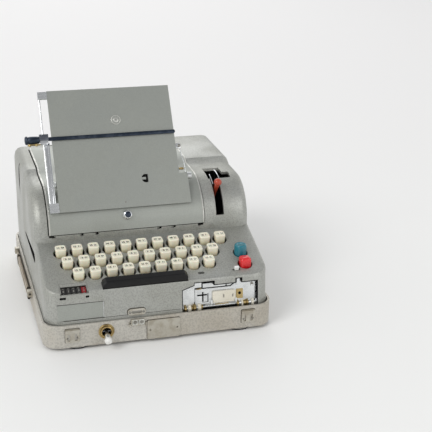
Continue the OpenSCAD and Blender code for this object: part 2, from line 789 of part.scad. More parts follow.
// Higher top behind the step
module raised_form() hull() {
    for (s = [-1, 1]) {
        for (p = [[0, 0], [step_len, step_rise]])
            translate([s * (half_w - edge_r), step_y + step_shift * edge_r + p[0], low_top - edge_r + p[1]])
                sphere(r = edge_r, $fn = hull_fn);
        translate([s * (half_w - edge_r), rear_y - rear_r, high_top - rear_r]) rotate([0, 90, 0])
            round_disc(rear_r, edge_r);
    }
}

// Apron and sloping key deck, which run back into the hump
module deck_form() hull() {
    for (s = [-1, 1]) {
        for (y = [front_y + casing_corner, rear_y - casing_corner])
            translate([s * (half_w - casing_corner), y, ledge_z])
                cylinder(r = casing_corner, h = rim_z - ledge_z, $fn = hull_fn * 2);
        on_deck(s * (half_w - casing_corner), deck_front_u, -crease_r) round_disc(casing_corner, crease_r);
        on_deck(s * (half_w - crease_r), deck_len + 2 * edge_r, -crease_r)
            sphere(r = crease_r, $fn = hull_fn);
    }
}

module cavity() intersection() {
    union() {
        across(0, casing_w - 2 * (casing_wall + 4)) polygon(shell_profile(casing_wall));
        across(0, casing_w - 2 * casing_wall) polygon(shell_profile(casing_wall + 4));
    }
    translate([0, 0, ledge_z - 1]) linear_extrude(high_top)
        rounded_rect(casing_w - 2 * casing_wall, casing_d - 2 * casing_wall, casing_corner);
}

// Space under the lid: a shallow rebate, and the opening inside its ledge
module lid_cut() {
    gap_angle = lid_gap / (hump_r * PI / 180);
    seat_angle = lid_seat / (hump_r * PI / 180);
    sunk = lid_sunk + clear;
    across(lid_x, lid_w + 2 * lid_gap) polygon(concat(
        lid_path(lid_proud + 3, lid_start - gap_angle, lid_rear_y + lid_gap),
        reversed(lid_path(-sunk, lid_start - gap_angle, lid_rear_y + lid_gap))));
    across(lid_x, lid_w - 2 * lid_seat) polygon(concat(
        lid_path(lid_proud, lid_start + seat_angle, lid_rear_y - lid_seat),
        reversed(lid_path(-casing_wall - 12, lid_start + seat_angle, lid_rear_y - lid_seat))));
    pocket_y = lid_rear_y - 1 - clear;
    for (s = [-1, 1])
        translate([lid_x + s * knuckle_x - knuckle_w / 2 - clear, pocket_y, high_top - 12])
            cube([knuckle_w + 2 * clear, pocket_rear - pocket_y, 20]);
}

// Ears under the casing's top that carry the lid's hinge pin
module hinge_ears() {
    ear_x = knuckle_w / 2 + clear + hinge_ear_t / 2;
    for (k = [-1, 1], s = [-1, 1])
        translate([lid_x + k * knuckle_x + s * ear_x, lid_hinge_y, lid_hinge_z])
            translate([-hinge_ear_t / 2, -hinge_ear_d / 2, -hinge_ear_d / 2])
                cube([hinge_ear_t, hinge_ear_d, hinge_ear_d / 2 + lid_hinge_down - casing_wall + 1]);
}

// Slot for the mode lever, with its wider upper part
module lever_slot() {
    a0 = 180 - asin(slot_up / hump_r);
    a1 = 90 - asin(slot_rear / hump_r);
    left = lever_x - 0.3 - slot_w / 2;
    wide_left = left - 2.25;
    slot = concat([[hump_y, hump_axis_z]], arc(hump_y, hump_axis_z, hump_r + 5, a0, a1, 24));
    wide = concat([[hump_y, hump_axis_z]], arc(hump_y, hump_axis_z, hump_r + 5, 110, a1, 8));
    ear = concat([[hump_y, hump_axis_z]], arc(hump_y, hump_axis_z, hump_r + 5, 110, 94, 8));
    difference() {
        union() {
            across(left + slot_w / 2, slot_w) polygon(slot);
            across(wide_left + slot_wide_w / 2, slot_wide_w) polygon(wide);
            across(wide_left + slot_wide_w - 0.7 + slot_ear_w / 2, slot_ear_w) polygon(ear);
        }
        translate([0, hump_y, hump_axis_z]) rod_x(2 * (hump_r - casing_wall - 3), 0, half_w + 5);
    }
}

module casing_cuts() {
    for (i = [0:key_total - 1])
        translate([key_x(i), row_y(key_row(i)), deck_z(row_y(key_row(i))) - 12])
            cylinder(d = key_hole_d, h = 24);
    for (u = [start_u, stop_u])
        translate([side_key_x, deck_y(u), deck_z(deck_y(u)) - 12]) cylinder(d = key_hole_d, h = 24);
    on_deck(bar_x, bar_u - clear + (bar_d + 2 * clear) / 2, -9) linear_extrude(20)
        square([bar_w + 2 * clear, bar_d + 2 * clear], center = true);
    on_deck(slide_x, slide_u, -8) linear_extrude(12) oval(slide_slot_w, slide_slot_d);
    on_deck(sight_x, sight_u, -8) linear_extrude(12) oval(sight_w, sight_d);
    on_deck(counter_x - counter_w / 2, -10, -counter_lip) cube([counter_w, counter_u + 10, 12]);
    on_deck(counter_x - counter_w / 2, 0.2, -20) cube([counter_w, counter_u - 0.2, 24]);
    on_apron(recess_x, recess_h / 2 + bead_h - 1, -recess_t) linear_extrude(5)
        square([recess_w, recess_h], center = true);
    on_apron(reader_left, 0, -casing_wall - 4) linear_extrude(10) polygon(reader_outline);
    notch_z = hump_axis_z + lid_start_up - seam_notch - 0.5;
    for (x = seam_notches)
        translate([lid_x + x - seam_notch / 2, hump_front_y - seam_notch / 2, notch_z])
            cube([seam_notch, seam_notch, seam_notch]);
    translate([-half_w + edge_r, rear_y - side_slot_in, rim_z + side_slot_up]) rotate([0, -90, 0])
        linear_extrude(edge_r + 3) polygon(concat(
            arc(0, side_slot_h / 2 - side_slot_len, side_slot_h / 2, 180, 360, 16),
            arc(-side_slot_fall, -side_slot_end / 2, side_slot_end / 2, 0, 180, 8)));
    translate([-half_w + edge_r, rear_y - crescent_in, high_top - crescent_down]) rotate([0, -90, 0])
        linear_extrude(edge_r + 3) polygon(concat(
            arc(0, 0, crescent_r, 30, 138, hump_steps),
            [for (i = [hump_steps - 1:-1:1])
                let (a = 30 + 108 * i / hump_steps, r = crescent_r - crescent_w * sin(180 * i / hump_steps))
                [r * cos(a), r * sin(a)]]));
    lever_slot();
    lid_cut();
}

module casing_shell() difference() {
    union() {
        hump_form();
        raised_form();
        deck_form();
        translate([0, 0, rim_z - bead_down]) linear_extrude(bead_h)
            rounded_rect(casing_w + 2 * bead_out, casing_d + 2 * bead_out, casing_corner + bead_out);
    }
    cavity();
    casing_cuts();
}

module casing() machine() color([0.62, 0.63, 0.6]) difference() {
    union() {
        casing_shell();
        hinge_ears();
    }
    translate([lid_x, lid_hinge_y, lid_hinge_z]) {
        reach = knuckle_w / 2 + clear + hinge_ear_t + 0.5;
        for (s = [-1, 1]) translate([s * knuckle_x, 0, 0]) rod_x(pin_d + 2 * fit, -reach, reach);
    }
}

module lid_knuckle() {
    rod_x(barrel_d, -knuckle_w / 2, knuckle_w / 2);
    translate([-knuckle_w / 2, -lid_hinge_back - 1, 0])
        cube([knuckle_w, lid_hinge_back + 1, lid_hinge_down + lid_proud]);
}

// Standing ear on the lid that carries one pivot screw of the document plate
module pivot_ear(x) {
    ear_r = 3.5;
    reach = pivot_y - ear_r - hump_y;
    foot_z = hump_axis_z + sqrt(pow(hump_r + lid_proud - 1, 2) - reach * reach);
    translate([x, pivot_y, pivot_z]) rod_x(2 * ear_r, 0, tab_t);
    translate([x, pivot_y - ear_r, foot_z]) cube([tab_t, 2 * ear_r, pivot_z - foot_z]);
}

module rotor_lid() machine() color([0.6, 0.61, 0.59]) difference() {
    union() {
        across(lid_x, lid_w) polygon(concat(
            lid_path(lid_proud, lid_start, lid_rear_y),
            reversed(lid_path(-lid_sunk, lid_start, lid_rear_y))));
        for (s = [-1, 1]) translate([lid_x + s * knuckle_x, lid_hinge_y, lid_hinge_z]) lid_knuckle();
        pivot_ear(ear_left_x);
        pivot_ear(ear_right_x);
    }
    translate([0, lid_hinge_y, lid_hinge_z]) rod_x(pin_d + 2 * fit, lid_left, lid_right);
    translate([0, pivot_y, pivot_z]) rod_x(screw_d + 2 * fit, plate_left - 5, plate_right + ear_w + 5);
    translate([lid_x, hump_y, hump_axis_z]) rotate([90 - knob_angle, 0, 0])
        cylinder(d = 4 + 2 * fit, h = 2 * hump_r);
}

module lid_pins() machine() color([0.75, 0.75, 0.74]) {
    reach = knuckle_w / 2 + clear + hinge_ear_t;
    head_x = plate_right + ear_w + clear;
    for (s = [-1, 1]) translate([lid_x + s * knuckle_x, lid_hinge_y, lid_hinge_z])
        rod_x(pin_d, -reach, reach);
    translate([0, pivot_y, pivot_z]) {
        rod_x(screw_d, plate_left - clear, ear_left_x + tab_t);
        rod_x(screw_head_d - 2, plate_left - clear - 1.5, plate_left - clear);
        rod_x(screw_d, ear_right_x, head_x);
        rod_x(screw_head_d, head_x, head_x + screw_head_l);
    }
}

module lid_knob() machine() color([0.7, 0.7, 0.7])
    translate([lid_x, hump_y, hump_axis_z]) rotate([90 - knob_angle, 0, 0]) {
        translate([0, 0, 44]) cylinder(d = 4, h = hump_r + lid_proud + clear - 43);
        translate([0, 0, hump_r + lid_proud + clear]) {
            cylinder(d = knob_d, h = knob_h - 2);
            translate([0, 0, knob_h - 2]) cylinder(d1 = knob_d, d2 = knob_d - 3, h = 2);
        }
        translate([-3, -2.5, 44]) cube([16, 5, 1.5]);
    }

module document_plate() machine() color([0.58, 0.6, 0.59]) {
    on_plate(0, 0, -plate_t) linear_extrude(plate_t) difference() {
        union() {
            translate([plate_left, 0]) square([plate_w, plate_len]);
            translate([plate_right - 1, 0]) square([ear_w + 1, ear_len - ear_w]);
            translate([plate_right - 1, 0]) square([1 + ear_w / 2, ear_len]);
            translate([plate_right + ear_w / 2, ear_len - ear_w]) square([ear_w / 2, ear_w / 2]);
            translate([plate_right + ear_w / 2, ear_len - ear_w / 2]) circle(d = ear_w);
        }
        translate([plate_left + window_x, window_u]) difference() {
            circle(d = window_d);
            translate([window_d / 4, -window_d]) square([window_d, 2 * window_d]);
            translate([-window_d / 2, -1.5]) square([window_d / 2, 3]);
        }
    }
    on_plate(plate_left + boss_x, boss_u, -plate_t) cylinder(d = boss_d, h = plate_t + boss_rise);
    for (x = [plate_left, plate_right + ear_w - tab_t]) difference() {
        union() {
            on_plate(x, pivot_u - 4, -pivot_back) cube([tab_t, 8, pivot_back - plate_t + 0.5]);
            on_plate(x, pivot_u, -pivot_back) rod_x(8, 0, tab_t);
        }
        on_plate(x, pivot_u, -pivot_back) rod_x(screw_d + 2 * fit, -1, tab_t + 1);
    }
}

module plate_rail() machine() color([0.66, 0.67, 0.67]) {
    bracket_w = rail_out + rail_d / 2 + 0.2;
    on_plate(plate_left - bracket_w, 0, -plate_t - 0.8) cube([bracket_w, foot_bracket_len, plate_t + 1.6]);
    on_plate(plate_left - bracket_w, plate_len - top_bracket_len - 1, -plate_t - 0.8)
        cube([bracket_w, top_bracket_len, plate_t + 1.6]);
    on_plate(rail_x, 2, rail_h) rotate([-90, 0, 0]) cylinder(d = rail_d, h = plate_len - 5);
}

module line_ruler() machine() color([0.2, 0.23, 0.27]) difference() {
    union() {
        on_plate(rail_x - clamp_out, ruler_u - clamp_len / 2, -clamp_back)
            cube([clamp_w, clamp_len, clamp_t]);
        on_plate(ruler_left, ruler_u - ruler_d / 2, ruler_lift)
            cube([ruler_right - ruler_d / 2 - ruler_left, ruler_d, ruler_t]);
        on_plate(ruler_right - ruler_d / 2, ruler_u, ruler_lift) cylinder(d = ruler_d, h = ruler_t);
        on_plate(rail_x - clamp_out, ruler_u, 0) {
            rod_x(grip_d, -grip_len, 1);
            rod_x(grip_d + 1.2, -grip_len, grip_ring - grip_len);
        }
    }
    on_plate(rail_x, ruler_u - clamp_len, rail_h) rotate([-90, 0, 0])
        cylinder(d = rail_d + 2 * fit, h = 2 * clamp_len);
}

module mode_lever() machine() color([0.78, 0.22, 0.12])
    translate([lever_x, hump_y, hump_axis_z]) difference() {
        union() {
            rod_x(lever_hub_d, -lever_hub_w / 2, lever_hub_w / 2);
            rotate([lever_angle, 0, 0]) {
                cylinder(d = lever_d, h = lever_len);
                translate([0, 0, lever_len]) sphere(d = lever_ball_d);
            }
        }
        rod_x(axle_end_d + 2 * fit, -lever_hub_w, lever_hub_w);
    }

module stem(top_z, y) translate([0, 0, deck_z(y) - guide_drop - key_travel - 1])
    cylinder(d = stem_d, h = top_z - (deck_z(y) - guide_drop - key_travel - 1));

module key(i) machine() color([0.91, 0.88, 0.78]) {
    y = row_y(key_row(i));
    base = deck_z(y) + cap_rise - cap_h;
    translate([key_x(i), y, base]) linear_extrude(cap_h) rounded_rect(cap_w, cap_d, cap_corner);
    translate([key_x(i), y, 0]) stem(base + 1, y);
}

module start_key() machine() color([0.08, 0.42, 0.48]) {
    y = deck_y(start_u);
    base = deck_z(y) + start_rise - cap_h;
    translate([side_key_x, y, base]) {
        cylinder(d = start_d, h = cap_h - 1);
        translate([0, 0, cap_h - 1]) cylinder(d1 = start_d, d2 = start_d - 1.6, h = 1);
    }
    translate([side_key_x, y, 0]) stem(base + 1, y);
}

module stop_key() machine() color([0.85, 0.15, 0.15]) {
    y = deck_y(stop_u);
    base = deck_z(y) + stop_rise - cap_h;
    translate([side_key_x, y, base]) linear_extrude(cap_h) rounded_rect(stop_w, stop_w, cap_corner);
    translate([side_key_x, y, 0]) stem(base + 1, y);
}

module space_bar() machine() color([0.1, 0.1, 0.11])
    on_deck(bar_x, bar_u + bar_d / 2) {
        translate([0, 0, -3]) linear_extrude(bar_rise + 3) rounded_rect(bar_w, bar_d, 1.5);
        for (s = [-1, 1]) translate([s * bar_stem_x, 1, -guide_h - chassis_t - key_travel - 1])
            cylinder(d = stem_d, h = guide_h + chassis_t + key_travel);
    }

module slide_switch() machine() color([0.93, 0.93, 0.91])
    on_deck(slide_x, slide_u) {
        foot_w = slide_slot_w - 2 * slide_travel - 0.4;
        translate([0, 0, -casing_wall - 2]) linear_extrude(casing_wall + 3) oval(foot_w, slide_slot_d - 0.8);
        translate([0, 0, clear]) linear_extrude(4) rounded_rect(slide_knob_w, slide_slot_d + 0.6, 1);
        translate([0, 0, -casing_wall - 2]) linear_extrude(2 - clear)
            rounded_rect(foot_w + 3, slide_slot_d + 3, 1);
    }

module counter_frame() machine() color([0.56, 0.56, 0.55])
    on_deck(counter_x, 0) {
        for (s = [-1, 1])
            translate([s * (counter_w - counter_cheek) / 2 - counter_cheek / 2, 1.2, counter_axle_h - 4])
                cube([counter_cheek, counter_u - 1.2, 3 - counter_axle_h]);
        across(0, counter_w) polygon([
            [counter_u, -0.4], [counter_u, -10], [counter_u - 0.6, -10], [counter_u - 0.6, -4],
            [counter_u - 3, -2.2]]);
        translate([0, counter_axle_u, counter_axle_h]) rod_x(counter_axle_d, -counter_w / 2, counter_w / 2);
    }

module counter_wheels() machine() color([0.09, 0.09, 0.1])
    on_deck(counter_x, counter_axle_u, counter_axle_h) {
        room = counter_w - 2 * counter_cheek - 2 * clear;
        pitch = (room + 0.4) / counter_count;
        for (i = [0:counter_count - 1]) difference() {
            translate([-room / 2 + i * pitch, 0, 0]) rod_x(2 * counter_r, 0, pitch - 0.4);
            rod_x(counter_axle_d + 2 * fit, -counter_w / 2, counter_w / 2);
        }
    }

// Fixed parts of the tape reader, behind its opening
module reader_plate() machine() color([0.74, 0.75, 0.75]) difference() {
    union() {
        on_apron(reader_left, pad_s - 0.4, -reader_depth - reader_t) cube([reader_w, reader_h - 5, reader_t]);
        on_apron(reader_left + 2, pad_s, -reader_depth - 0.5) cube([pad_left_w, reader_h - 12, pad_t + 0.5]);
        on_apron(reader_right - pad_right_w - 1.5, pad_s, -reader_depth - 0.5)
            cube([pad_right_w, reader_h - 7, pad_t + 0.5]);
        for (x = [0, reader_w - cheek_t]) on_apron(reader_left + x, -2.6, -reader_depth - 4) {
            cube([cheek_t, reader_h + 4.6, 5]);
            translate([0, 0, 2]) cube([cheek_t, 8, 5.6]);
        }
        for (x = [gate_x - gate_ear_t - clear, gate_x + gate_w + clear]) {
            on_apron(x, gate_pivot_s - 2, -reader_depth - reader_t)
                cube([gate_ear_t, 5.5, 5.2 + reader_t]);
        }
        for (x = [reader_left, reader_right - reader_leg[0]])
            translate([x, front_y + reader_depth + 3.8, floor_z + chassis_t])
                cube([reader_leg[0], reader_leg[1], rim_z - floor_z - chassis_t + 12]);
    }
    on_apron(0, gate_pivot_s, gate_pivot_h)
        rod_x(gate_pin_d + 2 * fit, gate_x - gate_ear_t - 1, gate_x + gate_w + gate_ear_t + 1);
    on_apron(0, roller_s, roller_h) rod_x(shaft_d + 2 * fit, reader_left - 1, reader_right + 1);
    on_apron(reader_left + cross_x, cross_s, -reader_depth - reader_t - 1) linear_extrude(6) {
        square([cross_size[0] - 2, cross_size[1]], center = true);
        square([cross_size[1], cross_size[0]], center = true);
    }
}

module tape_gate() machine() color([0.86, 0.82, 0.72])
    on_apron(gate_x, gate_pivot_s, gate_pivot_h) {
        pin_past = gate_ear_t + clear - 0.2;
        rod_x(gate_t, 0, gate_w);
        rod_x(gate_pin_d, -pin_past, gate_w + pin_past);
        translate([0, 0, -gate_t / 2]) cube([gate_w, gate_h - gate_t / 2, gate_t]);
    }

module feed_rollers() machine() color([0.76, 0.6, 0.3])
    on_apron(0, roller_s, roller_h) {
        rod_x(shaft_d, reader_left + 0.2, reader_right - 0.2);
        rod_x(roller_d, reader_left + cheek_t + clear, gate_x - gate_ear_t - 9);
        rod_x(roller_d, gate_x + gate_w + gate_ear_t + 2 * clear, reader_right - cheek_t - clear);
    }

module chassis() machine() color([0.5, 0.5, 0.49]) {
    base_w = tray_w - 2 * (tray_wall + ledge_w) - 9;
    base_d = tray_d - 2 * (tray_wall + ledge_w) - 7;
    difference() {
        union() {
            translate([0, 0, floor_z]) linear_extrude(chassis_t)
                rounded_rect(base_w, base_d, tray_corner - 6);
            for (x = [side_left, side_right]) translate([x, hump_y - side_plate_d / 2, floor_z])
                cube([chassis_t, side_plate_d, hump_axis_z + 2 * axle_d - floor_z]);
            on_deck(-half_w + 12, guide_front, -guide_h - chassis_t)
                cube([casing_w - 24, guide_rear - guide_front, chassis_t]);
            for (x = [-half_w + 20, 0, half_w - 20], u = [guide_front + 29, guide_rear - 8])
                translate([x, deck_y(u), floor_z])
                    cylinder(d = post_d, h = deck_z(deck_y(u)) - guide_drop + 0.4 - floor_z);
        }
        for (i = [0:key_total - 1]) translate([key_x(i), row_y(key_row(i)), rim_z])
            cylinder(d = stem_d + 2 * fit, h = hump_axis_up);
        for (u = [start_u, stop_u]) translate([side_key_x, deck_y(u), rim_z])
            cylinder(d = stem_d + 2 * fit, h = hump_axis_up);
        for (s = [-1, 1])
            on_deck(bar_x + s * bar_stem_x, bar_u + bar_d / 2 + 1, -guide_h - 3 * chassis_t)
                cylinder(d = stem_d + 2 * fit, h = 4 * chassis_t);
        translate([0, hump_y, hump_axis_z])
            rod_x(axle_d + 2 * fit, side_left - 1, side_right + chassis_t + 1);
    }
}

module rotor_axle() machine() color([0.78, 0.78, 0.77])
    translate([0, hump_y, hump_axis_z]) {
        rod_x(axle_d, side_left - 4, side_right + chassis_t + 2);
        rod_x(axle_end_d, side_right, lever_x + lever_hub_w / 2 + 3);
        rod_x(axle_end_d + 4, lever_x + lever_hub_w / 2 + clear, lever_x + lever_hub_w / 2 + 3);
    }

module rotor_drum() machine() color([0.62, 0.5, 0.3])
    translate([0, hump_y, hump_axis_z]) for (i = [0:rotor_count - 1]) difference() {
        translate([drum_left + i * (rotor_w + rotor_gap), 0, 0]) {
            rod_x(rotor_d - 4, 0, rotor_w);
            rod_x(rotor_d, 2, rotor_w - 2);
        }
        rod_x(axle_d + 2 * fit, drum_left - 1, drum_left + drum_w + 1);
    }

module drive_motor() machine() color([0.3, 0.32, 0.31]) {
    base = floor_z + chassis_t;
    translate([0, rear_y - motor_d / 2 - 24, base + motor_d / 2 + 6]) {
        rod_x(motor_d, -motor_l / 2, motor_l / 2);
        rod_x(motor_d / 2, motor_l / 2, motor_l / 2 + 6);
        rod_x(8, motor_l / 2, motor_l / 2 + 22);
    }
    translate([-motor_l / 2 + 8, rear_y - motor_d - 18, base])
        cube([motor_l - 16, motor_d - 12, motor_d / 4 + 6]);
}

base_tray();
tray_feet();
front_plate();
tray_lugs();
front_catch();
catch_keeper();
carry_handle();
switch_collar();
switch_lever();
casing();
rotor_lid();
lid_pins();
lid_knob();
document_plate();
plate_rail();
line_ruler();
mode_lever();
space_bar();
start_key();
stop_key();
slide_switch();
counter_frame();
counter_wheels();
reader_plate();
tape_gate();
feed_rollers();
chassis();
rotor_axle();
rotor_drum();
drive_motor();
for (i = [1:key_total]) key(i - 1);
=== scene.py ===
import math
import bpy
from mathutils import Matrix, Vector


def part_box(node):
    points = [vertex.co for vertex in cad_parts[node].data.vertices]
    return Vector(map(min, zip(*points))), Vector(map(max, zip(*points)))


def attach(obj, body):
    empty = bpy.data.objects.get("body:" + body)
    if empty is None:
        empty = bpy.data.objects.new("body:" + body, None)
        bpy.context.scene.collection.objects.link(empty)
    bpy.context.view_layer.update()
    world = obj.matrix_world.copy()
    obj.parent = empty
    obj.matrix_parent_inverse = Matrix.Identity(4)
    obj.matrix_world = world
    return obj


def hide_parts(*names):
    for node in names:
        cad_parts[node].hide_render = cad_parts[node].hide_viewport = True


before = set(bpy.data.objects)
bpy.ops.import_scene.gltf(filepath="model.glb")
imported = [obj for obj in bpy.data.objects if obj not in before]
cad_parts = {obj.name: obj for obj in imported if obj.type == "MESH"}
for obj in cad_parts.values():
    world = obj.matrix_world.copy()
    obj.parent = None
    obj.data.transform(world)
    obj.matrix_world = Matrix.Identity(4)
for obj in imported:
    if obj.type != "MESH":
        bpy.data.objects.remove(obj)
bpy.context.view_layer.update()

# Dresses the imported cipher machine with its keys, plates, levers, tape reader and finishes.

from types import SimpleNamespace

import bmesh
import bpy
from bpy.props import FloatProperty, FloatVectorProperty, PointerProperty
from mathutils import Matrix, Quaternion, Vector
from mathutils.geometry import tessellate_polygon

bl_info = {
    "name": "Cipher Machine Dresser",
    "version": (1, 0, 0),
    "blender": (4, 5, 0),
    "location": "View3D > Sidebar > Cipher Machine",
    "description": "Adds the keys, plates, levers and finishes of a desktop cipher machine to its frame",
    "category": "Add Mesh",
}

MM = 0.001
SMOOTH_ANGLE = math.radians(38)
IDENTITY = Matrix.Identity(4)

# Places in millimetres and angles in degrees. X runs from the middle of the tray. Y and Z are the machine's
# own, while U runs up a sloping face and H stands out from it. R is a radius and W a width.
TRAY_FRONT = -155.0
APRON_Y, APRON_Z, APRON_TILT = -151.0, 33.0, 5.894
DECK_Y, DECK_Z, DECK_SLOPE = -147.0, 71.75, 18.1
HUMP_Y, HUMP_Z, HUMP_R = -9.0, 106.0, 52.0
LID_PROUD, LID_START, LID_REAR = 2.0, 4.248, 118.0
LID_LEFT, LID_RIGHT = -119.0, 77.0
LID_STEP = ((27.53, 160.0), (37.53, 165.0))
PLATE_Y, PLATE_Z, PLATE_SLOPE = -58.1, 137.0, 57.0
PLATE_LEFT, PLATE_RIGHT = -104.5, 50.3
HEAD_X, HEAD_Y, HEAD_Z, HEAD_R = 61.2, -33.461, 163.924, 4.55
RAIL_X, RAIL_H = -114.6, -1.0
RULER_U = 93.0
KNOB_X, KNOB_ANGLE = -21.0, 23.463
LEVER_X, LEVER_ANGLE, LEVER_REACH = 98.8, 35.8, 61.6
SWITCH_X, SWITCH_Y, SWITCH_Z, SWITCH_DROOP = -67.5, -154.0, 20.5, 25.5
COUNTER_X, COUNTER_U, COUNTER_H = -102.8, 7.6, -9.0
WHEEL_COUNT, WHEEL_LEFT, WHEEL_PITCH, WHEEL_TURN = 5, -14.85, 6.02, 22.0
BAR_X, BAR_U = -17.3, 6.45
READER_X = 26.0
KEEPER_X, KEEPER_U = -30.0, 6.9
CATCH_Y, CATCH_Z = -156.9, 25.8
LUG_X, LUG_Z = 108.0, 19.95
FOOT_X, FOOT_Y = 100.0, 136.5
STRAP_X, STRAP_Z, STRAP_FRONT, STRAP_REAR = -144.0, 27.8, -41.1, 91.1
STRAP_LOOPS = (-36.0, 70.0)
# The rounded top edge of the casing's left side, and the grip and crescent openings in that side. The grip's
# ends are given as Y, Z and radius.
EDGE_X, EDGE_Z, EDGE_R = -127.0, 153.0, 10.0
GRIP_FRONT, GRIP_REAR = (-53.5, 79.0, 6.5), (38.5, 76.0, 1.5)
CRESCENT_Y, CRESCENT_Z, CRESCENT_R, CRESCENT_W = 65.0, 134.0, 28.5, 11.0
# How far inside the side a pocket of painted shade starts, where its floor lies and how thick its wall is
POCKET_MOUTH, POCKET_FLOOR, POCKET_WALL = 0.05, -132.0, 0.12
# Where the picture of the machine was taken from, in millimetres and degrees, and its lens
VIEW_FROM = (-266.2, -1260.5, 607.1)
VIEW_AZIMUTH, VIEW_ELEVATION, VIEW_ROLL = -16.651, 21.318, 1.251
VIEW_LENS, VIEW_SHIFT = 88.367, -0.0035
# Half the width of the floor, in metres
FLOOR_HALF = 6.0


def place(x=0.0, y=0.0, z=0.0, tilt=0.0):
    """A shift in millimetres with a tilt about X in degrees inside it."""
    return Matrix.Translation((x, y, z)) @ Matrix.Rotation(math.radians(tilt), 4, "X")


TRAY_LOW, TRAY_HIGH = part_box("base_tray")
MACHINE = (Matrix.Translation(((TRAY_LOW.x + TRAY_HIGH.x) / 2, (TRAY_LOW.y + TRAY_HIGH.y) / 2, 0))
           @ Matrix.Scale(MM, 4))
DECK = MACHINE @ place(0, DECK_Y, DECK_Z, DECK_SLOPE)
APRON = MACHINE @ place(0, APRON_Y, APRON_Z, 90 - APRON_TILT)
PLATE = MACHINE @ place(0, PLATE_Y, PLATE_Z, PLATE_SLOPE)
HUMP = MACHINE @ place(0, HUMP_Y, HUMP_Z)
READER = APRON @ place(READER_X)
KEEPER = APRON @ place(KEEPER_X, KEEPER_U)
# Turns a drawing in the side view into one that is thick along X
ACROSS = Matrix(((0, 0, 1, 0), (1, 0, 0, 0), (0, 1, 0, 0), (0, 0, 0, 1)))
# Lays a lathed shape's axis along X
ALONG_X = Matrix.Rotation(math.radians(90), 4, "Y")


def paint(red, green, blue):
    """A display colour from 0 to 255 as Blender's linear one."""
    def channel(value):
        share = value / 255
        return share / 12.92 if share <= 0.04045 else ((share + 0.055) / 1.055) ** 2.4
    return channel(red), channel(green), channel(blue), 1.0


def length(label, metres, text):
    return FloatProperty(name=label, description=text, default=metres, min=0.0, unit="LENGTH")


def colour(label, value, text):
    return FloatVectorProperty(name=label, description=text, default=value, size=4, min=0.0, max=1.0,
                               subtype="COLOR")


class MachineSizes(bpy.types.PropertyGroup):
    """Sizes of the pieces that this add-on shapes."""
    key_width: length("Key width", 0.0132, "Width of a key cap")
    key_depth: length("Key depth", 0.0125, "Depth of a key cap")
    key_height: length("Key height", 0.015, "Height of a key cap")
    key_corner: length("Key corner", 0.003, "Corner radius of a key cap")
    legend_height: length("Legend height", 0.0036, "Height of the numbers on a key")
    stem_width: length("Stem width", 0.004, "Diameter of a key's stem")
    bar_width: length("Space bar width", 0.103, "Width of the space bar")
    bar_depth: length("Space bar depth", 0.0115, "Depth of the space bar")
    start_width: length("Start key width", 0.0155, "Diameter of the start key")
    stop_width: length("Stop key width", 0.0134, "Width of the stop key")
    ruler_width: length("Ruler width", 0.0046, "Width of the ruler's bar")
    grip_width: length("Grip width", 0.0095, "Diameter of the ruler's grip")
    knob_width: length("Lid knob width", 0.0118, "Diameter of the lid's knob")
    ball_width: length("Lever ball width", 0.010, "Diameter of the mode lever's ball")
    wheel_width: length("Number wheel width", 0.0132, "Diameter of a counter wheel")


class MachineColours(bpy.types.PropertyGroup):
    """Colours of the machine's finishes."""
    casing: colour("Casing", paint(170, 171, 166), "Hammered enamel of the casing")
    lid: colour("Lid", paint(165, 168, 162), "Satin enamel of the lid and document plate")
    tray: colour("Tray", paint(193, 190, 182), "Enamel of the tray")
    keys: colour("Keys", paint(240, 236, 216), "Cream plastic of the keys")
    keys_foot_shade_and_age: colour("Key foot shade and age", paint(214, 200, 158), "Yellowed foot of the keys, also darkened as painted shade")
    space_bar: colour("Space bar", paint(13, 13, 14), "Black plastic of the space bar")
    start_key: colour("Start key", paint(22, 116, 132), "Teal plastic of the start key")
    stop_key: colour("Stop key", paint(222, 38, 42), "Red plastic of the stop key")
    lever: colour("Mode lever", paint(186, 70, 46), "Enamel of the mode lever")
    ruler: colour("Ruler", paint(52, 60, 72), "Blued steel of the ruler")
    gate: colour("Tape gate", paint(228, 224, 211), "Cream enamel of the tape gate")
    strap: colour("Strap", paint(156, 146, 130), "Leather of the carry handle")


def sizes():
    """The sizes in millimetres, by name."""
    group = bpy.context.scene.machine_sizes
    return SimpleNamespace(**{name: getattr(group, name) / MM for name in group.__annotations__})


class Graph:
    """Adds nodes to a tree, each joined to others in the same call."""

    def __init__(self, tree):
        self.tree = tree

    def node(self, kind, values=(), **settings):
        node = self.tree.nodes.new(kind)
        for key, value in settings.items():
            setattr(node, key, value)
        for key, value in dict(values).items():
            if isinstance(value, bpy.types.NodeSocket):
                self.tree.links.new(value, node.inputs[key])
            else:
                node.inputs[key].default_value = value
        return node

    def math(self, operation, first, second=0.0, clamp=False):
        node = self.node("ShaderNodeMath", {0: first, 1: second}, operation=operation, use_clamp=clamp)
        return node.outputs[0]

    def mix(self, share, first, second, blend="MIX"):
        node = self.node("ShaderNodeMix", {0: share, 6: first, 7: second}, data_type="RGBA", blend_type=blend)
        return node.outputs[2]

    def tint(self, tone, share):
        """A colour made lighter or darker by a plain factor."""
        grey = self.node("ShaderNodeCombineColor", {0: share, 1: share, 2: share}).outputs[0]
        return self.mix(1.0, tone, grey, "MULTIPLY")

    def vector(self, operation, first, second):
        return self.node("ShaderNodeVectorMath", {0: first, 1: second}, operation=operation).outputs[0]

    def noise(self, vector, scale, detail=3.0, roughness=0.5):
        node = self.node("ShaderNodeTexNoise",
                         {"Vector": vector, "Scale": scale, "Detail": detail, "Roughness": roughness})
        return node.outputs[0]

    def band(self, value, low, high, to_low=0.0, to_high=1.0):
        node = self.node("ShaderNodeMapRange", {"Value": value, "From Min": low, "From Max": high,
                                                "To Min": to_low, "To Max": to_high},
                         interpolation_type="SMOOTHSTEP")
        return node.outputs[0]

    def coordinates(self, which="Object"):
        return self.node("ShaderNodeTexCoord").outputs[which]


